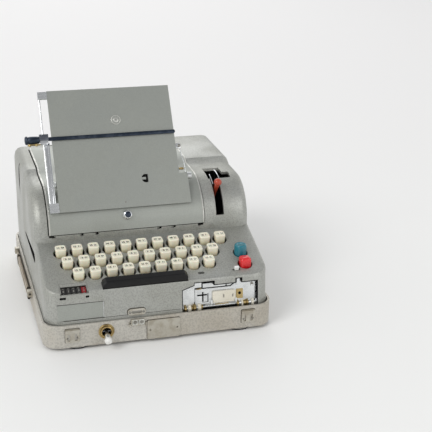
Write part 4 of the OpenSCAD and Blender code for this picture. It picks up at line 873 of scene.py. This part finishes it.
class MACHINE_OT_lid(bpy.types.Operator):
    """Adds bright strips on the lid's side edges, worn metal with a painted highlight, and black strips of
    painted shade in the seams around it
    """
    bl_idname = "machine.lid"
    bl_label = "Lid edges and seams"

    def execute(self, context):
        # Bright strips along the lid's side edges: worn bare metal, also standing in as a painted highlight
        # on the edges
        edges = Shape()
        for low, high in ((LID_LEFT + 0.1, LID_LEFT + 1.9), (LID_RIGHT - 1.9, LID_RIGHT - 0.1)):
            edges.slab(lid_band(0.3, -0.4), low, high, ACROSS, bevel=0.2)
        edges.make("lid_worn_edge_highlights", "lid", "bright_steel", ("edge steel and highlight",), MACHINE)
        # Painted shade: black strips in the gaps beside the lid and under its front edge, with notches
        seams = Shape()
        for low, high in ((LID_LEFT - 1.2, LID_LEFT - 0.05), (LID_RIGHT + 0.05, LID_RIGHT + 0.6)):
            seams.slab(lid_band(-1.85, -2.3), low, high, ACROSS, bevel=0)
        front = ring_part(HUMP_Y, HUMP_Z, HUMP_R + 0.15, HUMP_R - 0.3, 176.0, 177.3, 3)
        seams.slab(front, LID_LEFT + 0.3, LID_RIGHT - 0.3, ACROSS, bevel=0)
        notch = ring_part(HUMP_Y, HUMP_Z, HUMP_R + 0.25, HUMP_R - 0.3, 176.4, 179.6, 3)
        for x, width in SEAM_NOTCHES:
            seams.slab(notch, x - width / 2, x + width / 2, ACROSS, bevel=0)
        seams.make("lid_seam_shade", "machine", "foot_rubber", ("painted shade black",), MACHINE)
        return {"FINISHED"}


class MACHINE_OT_lid_knob(bpy.types.Operator):
    """Adds the lid's knob with its dark top and cam"""
    bl_idname = "machine.lid_knob"
    bl_label = "Lid knob"

    def execute(self, context):
        radius = sizes().knob_width / 2
        at = place(KNOB_X, 0, 0, 90 - KNOB_ANGLE)
        knob = Shape().lathe([(0, 44), (2, 44), (2, 54.2), (radius, 54.4), (radius, 55.2),
                              (radius - 0.4, 55.6), (radius - 0.5, 57.6), (radius - 1.1, 58.6),
                              (radius - 2.0, 59.0)], at)
        knob.lathe([(0, 57), (radius - 1.6, 57.4), (radius - 1.9, 58.9), (radius - 2.8, 59.6), (0, 59.9)],
                   at, 1)
        knob.block((-3, -2.5, 44), (13, 2.5, 45.5), at, 1)
        knob.make("lid_knob_cap", "lid_knob", "knob_chrome", ("chrome", "ruler steel"), HUMP, ("lid_knob",))
        return {"FINISHED"}


class MACHINE_OT_pivot_head(bpy.types.Operator):
    """Adds the knurled head of the screw that the document plate turns on"""
    bl_idname = "machine.pivot_head"
    bl_label = "Pivot head"

    def execute(self, context):
        rings = [toothed(x, HEAD_R * scale, 0.05, 56)
                 for x, scale in ((0.1, 0.94), (0.5, 1.0), (4.4, 1.0), (4.9, 0.92))]
        head = Shape().loft(rings, place(HEAD_X, HEAD_Y - HUMP_Y, HEAD_Z - HUMP_Z))
        head.make("pivot_head", "lid", "bright_steel", ("screw steel",), HUMP)
        return {"FINISHED"}


class MACHINE_OT_mode_lever(bpy.types.Operator):
    """Adds the mode lever and the blades beside it in its slot"""
    bl_idname = "machine.mode_lever"
    bl_label = "Mode lever"

    def execute(self, context):
        radius = sizes().ball_width / 2
        ball = []
        for degrees in range(36, 181, 12):
            angle = math.radians(degrees)
            ball.append((max(radius * math.sin(angle), 0.0), LEVER_REACH - radius * math.cos(angle)))
        shaft = [(0, 3), (2.4, 3), (2.6, 44), (3.0, 52), (3.0, 56), (2.6, LEVER_REACH - radius - 0.2)]
        shape = Shape().lathe(shaft + ball, place(LEVER_X, 0, 0, LEVER_ANGLE))
        hub = [(0, -4), (6.6, -4), (7, -3.6), (7, 3.6), (6.6, 4), (0, 4)]
        shape.lathe(hub, place(LEVER_X) @ ALONG_X)
        shape.make("mode_lever_body", "mode_lever", "lever_red", ("lever enamel",), HUMP, ("mode_lever",))
        blades = Shape()
        for x, first, last in ((94.2, 122.0, 101.0), (104.6, 112.0, 84.0)):
            blades.slab(ring_part(0, 0, 53.2, 40.0, first, last, 12), x, x + 0.9, ACROSS, bevel=0.2)
        blades.make("lever_blades", "machine", "bright_steel", ("chrome",), HUMP)
        return {"FINISHED"}


class MACHINE_OT_counter(bpy.types.Operator):
    """Adds the counter's number wheels with their figures"""
    bl_idname = "machine.counter"
    bl_label = "Counter wheels"

    def execute(self, context):
        radius = sizes().wheel_width / 2
        rim = [(1.6, 0), (radius - 0.4, 0), (radius, 0.4), (radius, 5.2), (radius - 0.4, 5.62), (1.6, 5.62)]
        shape = Shape()
        for wheel in range(WHEEL_COUNT):
            x = WHEEL_LEFT + wheel * WHEEL_PITCH
            shape.lathe(rim, place(x) @ ALONG_X, 1 if wheel == WHEEL_COUNT - 1 else 0)
            for figure in range(10):
                spin = Matrix.Rotation(math.radians(36 * figure + WHEEL_TURN), 4, "X")
                at = spin @ Matrix.Translation((x + 2.8, 0, radius + 0.03))
                shape.words(str((figure + 3 * wheel) % 10), 2.6, at, 2)
        shape.make("number_wheels", "counter_wheels", "wheel_black",
                   ("wheel black", "wheel red", "figure white"),
                   DECK @ place(COUNTER_X, COUNTER_U, COUNTER_H), ("counter_wheels",))
        return {"FINISHED"}


# The opening of the tape reader and the rim inside its black lining of painted shade
READER_EDGE = [(0, -3), (0, 27.3), (15, 32.1), (15, 35.4), (41, 35.4), (41, 30.6), (67, 30.6), (67, 36.0),
               (76, 36.0), (76, 30.6), (96, 30.6), (96, -3)]
READER_RIM = [(1.1, -3), (1.1, 26.3), (15.9, 31.0), (15.9, 34.2), (40.1, 34.2), (40.1, 29.3), (67.9, 29.3),
              (67.9, 34.8), (75.1, 34.8), (75.1, 29.3), (95.8, 29.3), (95.8, -3)]
# The reader's large plate with its cross and its corner opening
READER_PLATE = [(17.5, 4.0), (30.4, 4.0), (31.4, 1.2), (36.4, 1.2), (36.4, 3.0), (61.0, 3.0), (61.0, 1.2),
                (68.6, 1.2), (68.6, 4.4), (95.4, 4.4), (95.4, 33.0), (78.5, 33.0), (68.4, 28.2), (62.4, 24.1),
                (17.5, 24.4)]
READER_CROSS = [(20.2, 15.4), (26.4, 15.4), (26.4, 7.8), (28.2, 7.8), (28.2, 15.4), (32.6, 15.4),
                (32.6, 17.3), (28.2, 17.3), (28.2, 20.2), (26.4, 20.2), (26.4, 17.3), (20.2, 17.3)]
READER_CORNER = [(33.2, 17.9), (34.3, 17.9), (34.3, 6.9), (26.8, 6.9), (26.8, 7.4), (33.2, 7.4)]


class MACHINE_OT_reader(bpy.types.Operator):
    """Adds the tape reader's black lining and floor of painted shade, its plates, its brass tile with a black
    dot of painted shade for its hole, and its screws
    """
    bl_idname = "machine.reader"
    bl_label = "Tape reader"

    def execute(self, context):
        # Painted shade: black walls inside the opening and a black floor under the plates
        lining = Shape().slab(READER_EDGE + READER_RIM[::-1], -5.2, -0.45, bevel=0)
        lining.slab(READER_RIM, -7.02, -6.93, bevel=0)
        lining.make("reader_shade_lining", "machine", "foot_rubber", ("painted shade black",), READER)
        plates = Shape().slab([(2.2, 4.0), (16.3, 4.0), (16.3, 24.9), (2.2, 24.3)], -6.9, -5.35)
        plates.slab([(5.0, 25.9), (18.6, 26.2), (25.8, 26.4), (25.8, 33.2), (17.0, 33.2), (16.4, 30.4)],
                    -6.9, -5.7)
        plates.slab([READER_PLATE, READER_CROSS, READER_CORNER], -6.9, -5.45, bevel=0.15)
        plates.block((79.4, 5.6, -5.5), (95.2, 29.6, -5.0), bevel=0.2)
        plates.slab([(27.2, 25.7), (55.4, 25.4), (56.4, 27.2), (55.4, 31.0), (27.2, 31.0)], -6.9, -5.2,
                    bevel=0.4)
        plates.slab([(57.6, 25.4), (61.6, 25.1), (67.3, 29.0), (67.3, 31.0), (57.6, 31.0)], -6.9, -5.9)
        plates.block((69.6, 26.0, -7.0), (73.6, 34.0, -2.8), bevel=0.3)
        plates.make("reader_plates", "machine", "bright_steel", ("bright steel and highlight",), READER)
        tile = Shape().slab(rounded(8.6, 12.4, 0.6, x=73.7, y=13.8), -6.0, -4.6)
        tile.block((42.4, 0.4, -5.6), (60.0, 3.4, -4.6))
        tile.rod((19.2, 24.6, -5.0), (25.4, 24.9, -5.0), 0.8)
        # Painted shade: a black dot for the hole in the middle of the tile
        tile.lathe([(0, 0), (1.9, 0), (1.9, 0.3), (1.2, 0.5), (0, 0.5)], place(73.7, 14.6, -4.65), 1)
        tile.make("reader_brass", "machine", "brass", ("collar brass", "painted shade black"), READER)
        screws = Shape().lathe([(0, 0), (1.7, 0), (1.7, 0.4), (1.2, 0.7), (0, 0.75)], place(89.4, 25.6, -5.1))
        for x in (87.6, 91.0):
            screws.block((x, 22.6, -5.1), (x + 0.6, 26.0, -4.8), bevel=0.1)
        screws.make("reader_screws", "machine", "bright_steel", ("screw steel",), READER)
        return {"FINISHED"}


class MACHINE_OT_tape_gate(bpy.types.Operator):
    """Adds the cream gate that holds the tape, with its hinge rod and four marks"""
    bl_idname = "machine.tape_gate"
    bl_label = "Tape gate"

    def execute(self, context):
        gate = Shape().slab(rounded(29.0, 12.6, 1.8, x=53.6, y=14.0), -5.2, -2.6, bevel=0.8)
        gate.rod((39.2, 6.5, -3.8), (66.8, 6.5, -3.8), 1.5)
        gate.rod((36.9, 6.5, -3.8), (69.1, 6.5, -3.8), 1.0, 1)
        for x in (52.0, 53.0, 63.6, 64.6):
            gate.block((x, 11.6, -2.62), (x + 0.5, 16.4 - (x % 2), -2.52), finish=2, bevel=0)
        gate.make("tape_gate_cover", "tape_gate", "gate_cream", ("gate enamel", "bright steel and highlight", "figure ink and shade line"),
                  READER, ("tape_gate",))
        return {"FINISHED"}


# Left end of each stack of feed rollers and the widths in it, toothed and plain by turns
ROLLER_STACKS = ((3.0, (3.2, 2.0, 4.0, 2.4, 3.6, 2.2, 4.2, 2.4)),
                 (69.9, (2.4, 3.6, 2.0, 4.4, 2.2, 4.0, 3.4)))


class MACHINE_OT_rollers(bpy.types.Operator):
    """Adds the two stacks of feed rollers on their shaft"""
    bl_idname = "machine.rollers"
    bl_label = "Feed rollers"

    def execute(self, context):
        rollers = Shape()
        rollers.rod((0.4, 0, 0), (95.6, 0, 0), 1.5, 1)
        for x, widths in ROLLER_STACKS:
            for index, width in enumerate(widths):
                radius, notch = (3.1, 0.0) if index % 2 else (4.45, 0.1)
                ends = ((0, 0.8), (0.5, 1.0), (width - 0.5, 1.0), (width, 0.8))
                rings = [toothed(x + along, radius * scale, notch, 24) for along, scale in ends]
                rollers.loft(rings, finish=(0, 1, 2, 0)[index % 4])
                x += width
        rollers.make("toothed_rollers", "feed_rollers", "brass",
                     ("collar brass", "bright steel and highlight", "gate enamel"),
                     READER @ place(0, 1.5, -5.6), ("feed_rollers",))
        return {"FINISHED"}


class MACHINE_OT_switch(bpy.types.Operator):
    """Adds the toggle switch with its brass ring and white tip"""
    bl_idname = "machine.switch"
    bl_label = "Toggle switch"

    def execute(self, context):
        ring = Shape().lathe([(5.5, -3.7), (7.5, -3.7), (7.5, 0), (9.5, 0), (9.5, 1.0), (9.1, 1.5),
                              (8.2, 1.6), (7.9, 1.2), (7.5, 1.2), (7.3, 2.2), (6.9, 2.5), (6.2, 2.5),
                              (5.5, 1.9), (5.5, -3.7)])
        ring.lathe([(5.45, 1.3), (6.9, 1.4), (6.9, 2.62), (6.4, 2.9), (5.8, 2.8), (5.45, 2.2), (5.45, 1.3)],
                   finish=1)
        ring.make("switch_ring", "machine", "brass", ("collar brass", "rotor brass"),
                  tray_front(SWITCH_X, SWITCH_Z), ("switch_collar",))
        shaft = [(0, -1.2), (1.6, -1.0), (2.3, 2.4), (2.6, 4.4), (3.3, 7.0), (3.6, 8.6), (3.9, 12.4)]
        tip = [(0, 12.0), (3.8, 12.1), (4.3, 12.6), (4.5, 13.6), (4.6, 14.8), (4.5, 16.1), (4.0, 17.2),
               (3.1, 17.8), (1.8, 18.2), (0, 18.3)]
        toggle = Shape().lathe(shaft, finish=2).lathe(tip, finish=1)
        toggle.rod((-7.2, 0, 0), (7.2, 0, 0), 1.2)
        toggle.make("switch_toggle", "switch_lever", "knob_white",
                    ("dark steel", "ball white", "bright steel and highlight"),
                    tray_front(SWITCH_X, SWITCH_Z, SWITCH_Y, 90 + SWITCH_DROOP), ("switch_lever",))
        return {"FINISHED"}


class MACHINE_OT_shade_and_bead(bpy.types.Operator):
    """Adds painted shade, with some dirt, round the front fittings and in two lines along the apron, and the
    bead along the apron
    """
    bl_idname = "machine.grime"
    bl_label = "Grime and bead"

    def execute(self, context):
        grime = Shape()
        # Painted shade: dark brown outlines round the keeper, the lugs and the front plate, where contact
        # shade falls, with some dirt
        for at, width, height, corner in (
                (KEEPER, 23.2, 9.4, 4.6), (tray_front(-LUG_X, LUG_Z), 17.8, 18.3, 1.2),
                (tray_front(LUG_X, LUG_Z), 17.8, 18.3, 1.2), (tray_front(1.75, 16.6), 41.2, 25.6, 2.0)):
            inner = rounded(width - 3, height - 3, max(corner - 1.5, 0.4))
            grime.slab([rounded(width, height, corner), inner], -0.3, 0.1, at, bevel=0)
        # Painted shade: two dark lines above and below the bead at the apron's foot
        for low, high in ((0.15, 0.6), (3.6, 4.0)):
            grime.block((-117.0, low, -0.3), (23.5, high, 0.1), APRON, bevel=0)
        grime.make("fitting_shade_and_dirt", "machine", "foot_rubber", ("grime",), IDENTITY)
        bead = Shape().block((-118.5, 0.6, -0.4), (24.5, 3.6, 0.5), bevel=0.4)
        bead.make("apron_bead", "machine", "casing_paint", ("casing enamel",), APRON)
        return {"FINISHED"}


class MACHINE_OT_catch(bpy.types.Operator):
    """Adds the oval keeper on the apron and the front catch with its loops"""
    bl_idname = "machine.catch"
    bl_label = "Keeper and catch"

    def execute(self, context):
        keeper = Shape().slab([rounded(22, 8.2, 4.05, 8), rounded(13, 3.2, 1.55, 6)], 0, 2, bevel=0.6)
        keeper.slab(rounded(13.4, 3.6, 1.6, 6), 0.2, 0.7, finish=1, bevel=0)
        for x in (-8.4, 8.4):
            keeper.lathe([(0, 1.5), (1.7, 1.5), (1.7, 2.1), (1.2, 2.45), (0, 2.5)], place(x), 1)
        keeper.make("keeper_plate", "machine", "fitting_steel", ("worn plating", "screw steel"), KEEPER,
                    ("catch_keeper",))
        catch = Shape().slab([rounded(17, 7.2, 1.2, y=3.6), rounded(8, 2.6, 1.2, y=4.2)], -1.0, 1.0,
                             bevel=0.4)
        catch.rod((-8.5, 0, 0), (8.5, 0, 0), 1.5)
        catch.rod((-10.3, 0, 0), (10.3, 0, 0), 0.9, finish=1)
        catch.rod((-7.6, 6.6, -0.2), (7.6, 6.6, -0.2), 1.0)
        for x in (-3.4, 4.6):
            ring = [(0, 0.7), (2.2, 0.9), (2.5, 1.6), (3.1, 1.9), (3.7, 1.6), (4.0, 0.9)]
            catch.lathe(ring, place(x, 3.5), 2)
            catch.lathe([(0, 0.9), (2.1, 0.9), (2.1, 1.02), (0, 1.04)], place(x, 3.5), 1)
        catch.make("catch_plate", "front_catch", "fitting_steel",
                   ("worn plating", "screw steel", "edge steel and highlight"),
                   tray_front(KEEPER_X, CATCH_Z, CATCH_Y), ("front_catch",))
        return {"FINISHED"}


class MACHINE_OT_bare_plate(bpy.types.Operator):
    """Adds the bare plate on the apron, with a bright strip of painted highlight at its right edge and a
    black line of painted shade along its top, and two black patches of painted shade for the slots above it
    """
    bl_idname = "machine.bare_plate"
    bl_label = "Bare plate and slots"

    def execute(self, context):
        bare = Shape().slab(rounded(54.0, 19.6, 1.2), -0.78, -0.45, bevel=0.12)
        # Painted highlight: a bright strip along the right edge of the plate's recess
        bare.block((26.9, -9.6, -0.7), (27.5, 9.8, 0.12), finish=1, bevel=0.1)
        # Painted shade: a black line along the top of the recess
        bare.block((-27.4, 9.9, -0.7), (27.0, 10.3, 0.05), finish=2, bevel=0)
        bare.make("bare_plate", "machine", "lid_paint", ("lid enamel", "bright steel and highlight", "figure ink and shade line"),
                  APRON @ place(-96.5, 14.0))
        # Painted shade: flat black patches for the two slots
        slots = Shape()
        for x, width in ((-116.6, 7.4), (-87.7, 4.2)):
            slots.slab(rounded(width, 2.6, 0.6, 3, x=x, y=32.0), -0.4, 0.04, bevel=0)
        slots.make("apron_slot_shade", "machine", "foot_rubber", ("painted shade black",), APRON)
        return {"FINISHED"}


class MACHINE_OT_rivets(bpy.types.Operator):
    """Adds the rivets of the front lugs and the steel rims of the feet"""
    bl_idname = "machine.rivets"
    bl_label = "Rivets and foot rims"

    def execute(self, context):
        rivets = Shape()
        for x in (-114.0, -102.0, 102.0, 114.0):
            rivets.lathe([(0, 0), (1.3, 0), (1.1, 0.6), (0.6, 0.85), (0, 0.9)],
                         place(x, TRAY_FRONT - 1.4, 16.6, 90))
        rivets.make("lug_rivets", "machine", "fitting_steel", ("screw steel",), MACHINE)
        rims = Shape()
        for y in (-FOOT_Y, FOOT_Y):
            for x in (-FOOT_X, FOOT_X):
                rims.lathe([(16.6, 2.4), (17.3, 2.4), (17.5, 2.6), (17.5, 2.9), (17.3, 3.1), (16.6, 3.1),
                            (16.6, 2.4)], place(x, y), steps=64)
        rims.make("foot_rims", "machine", "fitting_steel", ("edge steel and highlight",), MACHINE)
        return {"FINISHED"}


def crescent_outline():
    """Side view of the crescent opening: its outer arc, then its inner edge back to the start."""
    outline = arc(CRESCENT_Y, CRESCENT_Z, CRESCENT_R, -48, 60, 12)
    for i in range(1, 12):
        angle, reach = math.radians(60 - 9 * i), CRESCENT_R - CRESCENT_W * math.sin(math.pi * i / 12)
        outline.append((CRESCENT_Y + reach * math.cos(angle), CRESCENT_Z + reach * math.sin(angle)))
    return outline


def pocket_mouth(z):
    """How far left a pocket reaches at a height, just inside the casing's rounded side."""
    return EDGE_X + POCKET_MOUTH - math.sqrt(EDGE_R ** 2 - max(z - EDGE_Z, 0.0) ** 2)


class MACHINE_OT_side_pockets(bpy.types.Operator):
    """Adds pockets of painted shade, black, behind the two openings of the casing's left side"""
    bl_idname = "machine.side_pockets"
    bl_label = "Side pockets"

    def execute(self, context):
        pockets = Shape()
        grip = arc(*GRIP_FRONT, 90, 270, 12) + arc(*GRIP_REAR, -90, 90, 6)
        for outer in (grip, crescent_outline()):
            inner = offset_path(outer + outer[:1], POCKET_WALL)[:-1]
            # Painted shade: black walls and floor inside each opening
            pockets.loft([[(POCKET_FLOOR + 0.3, y, z) for y, z in outer],
                          [(pocket_mouth(z), y, z) for y, z in outer],
                          [(pocket_mouth(z), y, z) for y, z in inner],
                          [(POCKET_FLOOR, y, z) for y, z in inner]])
        pockets.make("side_pockets", "machine", "foot_rubber", ("painted shade black",), MACHINE)
        return {"FINISHED"}


class MACHINE_OT_strap(bpy.types.Operator):
    """Adds the stitched leather strap of the carry handle with its two loops"""
    bl_idname = "machine.strap"
    bl_label = "Carry strap"

    def execute(self, context):
        rings = []
        for i in range(25):
            share = i / 24
            swell = math.sin(math.pi * share)
            height, thick = 9.5 + 4.0 * min(1.0, 3 * swell), 2.4 + 0.55 * min(1.0, 2 * swell)
            y = STRAP_FRONT + (STRAP_REAR - STRAP_FRONT) * share
            rings.append([(x, y, z + 1.5 - height / 2) for x, z in rounded(thick, height, thick * 0.48, 4)])
        strap = Shape().loft(rings)
        for i in range(44):
            y = STRAP_FRONT + 6 + i * 2.8
            for z in (-0.9, -9.4):
                strap.rod((-1.5, y, z), (-1.5, y + 1.7, z), 0.28, 2, 8)
        for y in (STRAP_FRONT - 4.8, STRAP_REAR):
            strap.rod((0, y - 0.2, 0), (0, y + 5.0, 0), 1.5, 1)
        loop = rounded(3.8, 15.2, 1.6, 4)
        for y in STRAP_LOOPS:
            strap.loft([[(x * scale, y + along, z * scale - 5.2) for x, z in loop]
                        for along, scale in ((0, 0.93), (0.5, 1.0), (5.5, 1.0), (6.0, 0.93))], finish=3)
        strap.make("leather_strap", "carry_handle", "strap_leather",
                   ("strap leather", "screw steel", "gate enamel", "grime"),
                   MACHINE @ place(STRAP_X, 0, STRAP_Z), ("carry_handle",))
        return {"FINISHED"}


def add_floor(context):
    """Pale paper under the machine, painted a little lighter towards the back as painted light."""
    half = FLOOR_HALF
    mesh = bpy.data.meshes.new("floor")
    mesh.from_pydata([(-half, -half, 0), (half, -half, 0), (half, half, 0), (-half, half, 0)], [],
                     [(0, 1, 2, 3)])
    floor = bpy.data.objects.new("floor", mesh)
    context.scene.collection.objects.link(floor)
    material = bpy.data.materials.new("floor paper")
    material.use_nodes = True
    graph = Graph(material.node_tree)
    surface = material.node_tree.nodes["Principled BSDF"]
    where = graph.coordinates()
    # Painted light: the paper's colour grows lighter towards the back
    far_light = graph.band(graph.node("ShaderNodeSeparateXYZ", {0: where}).outputs[1], -0.6, 1.4)
    tone = graph.mix(far_light, paint(243, 243, 241), paint(246, 245, 244))
    fibre = graph.band(graph.noise(where, 700.0, 4.0), 0.3, 0.7, 0.985, 1.0)
    material.node_tree.links.new(graph.tint(tone, fibre), surface.inputs["Base Color"])
    surface.inputs["Roughness"].default_value = 0.85
    mesh.materials.append(material)


def add_lamp(context, name, at, side, power):
    """Square lamp, in metres and watts, aimed at the machine."""
    data = bpy.data.lights.new(name, "AREA")
    data.shape = "SQUARE"
    data.size = side
    data.energy = power
    lamp = bpy.data.objects.new(name, data)
    lamp.location = at
    lamp.rotation_mode = "QUATERNION"
    lamp.rotation_quaternion = (Vector((0, 0, 0.1)) - Vector(at)).to_track_quat("-Z", "Y")
    context.scene.collection.objects.link(lamp)


def add_sky(context):
    """Even sky, darker in front of the machine than behind it."""
    world = bpy.data.worlds.new("soft sky")
    world.use_nodes = True
    context.scene.world = world
    world.node_tree.nodes.clear()
    graph = Graph(world.node_tree)
    way = graph.node("ShaderNodeSeparateXYZ", {0: graph.coordinates("Generated")}).outputs
    behind = graph.band(way[1], -0.6, 0.6)
    low = graph.mix(behind, paint(208, 208, 208), paint(255, 255, 255))
    high = graph.mix(behind, paint(164, 165, 167), paint(206, 207, 209))
    dome = graph.mix(graph.band(way[2], 0.38, 0.8), low, high)
    path = graph.node("ShaderNodeLightPath").outputs
    seen = graph.math("MAXIMUM", path["Is Camera Ray"], path["Is Transmission Ray"])
    tone = graph.mix(seen, dome, paint(240, 239, 238))
    sky = graph.node("ShaderNodeBackground", {"Color": tone, "Strength": 1.0})
    graph.node("ShaderNodeOutputWorld", {"Surface": sky.outputs[0]})


class MACHINE_OT_stage(bpy.types.Operator):
    """Adds the pale floor, the soft lamps and the sky"""
    bl_idname = "machine.stage"
    bl_label = "Floor and light"

    def execute(self, context):
        add_floor(context)
        add_lamp(context, "key lamp", (-4.0, -2.4, 4.0), 2.8, 150.0)
        add_lamp(context, "fill lamp", (1.6, -2.2, 1.2), 1.6, 12.0)
        add_lamp(context, "rear lamp", (0.3, 3.0, 2.0), 1.8, 16.0)
        add_sky(context)
        context.scene.view_settings.view_transform = "Standard"
        return {"FINISHED"}


class MACHINE_PT_pieces(bpy.types.Panel):
    """Lists the pieces, with the sizes and colours they use"""
    bl_idname = "MACHINE_PT_pieces"
    bl_label = "Cipher Machine"
    bl_space_type = "VIEW_3D"
    bl_region_type = "UI"
    bl_category = "Cipher Machine"

    def draw(self, context):
        for group in (context.scene.machine_sizes, context.scene.machine_colours):
            column = self.layout.column(align=True)
            for name in group.__annotations__:
                column.prop(group, name)
        for operator in OPERATORS:
            self.layout.operator(operator.bl_idname)


OPERATORS = (MACHINE_OT_camera, MACHINE_OT_finishes, MACHINE_OT_keys, MACHINE_OT_space_bar,
             MACHINE_OT_start_and_stop, MACHINE_OT_document_plate, MACHINE_OT_ruler, MACHINE_OT_lid,
             MACHINE_OT_lid_knob, MACHINE_OT_pivot_head, MACHINE_OT_mode_lever, MACHINE_OT_counter,
             MACHINE_OT_reader, MACHINE_OT_tape_gate, MACHINE_OT_rollers, MACHINE_OT_switch, MACHINE_OT_shade_and_bead,
             MACHINE_OT_catch, MACHINE_OT_bare_plate, MACHINE_OT_rivets, MACHINE_OT_side_pockets,
             MACHINE_OT_strap, MACHINE_OT_stage)
CLASSES = (MachineSizes, MachineColours) + OPERATORS + (MACHINE_PT_pieces,)


def register():
    for item in CLASSES:
        bpy.utils.register_class(item)
    bpy.types.Scene.machine_sizes = PointerProperty(type=MachineSizes)
    bpy.types.Scene.machine_colours = PointerProperty(type=MachineColours)


def unregister():
    del bpy.types.Scene.machine_colours
    del bpy.types.Scene.machine_sizes
    for item in reversed(CLASSES):
        bpy.utils.unregister_class(item)


def main():
    """Builds every piece in order."""
    register()
    for operator in OPERATORS:
        area, name = operator.bl_idname.split(".")
        getattr(getattr(bpy.ops, area), name)()


if __name__ == "__main__":
    main()
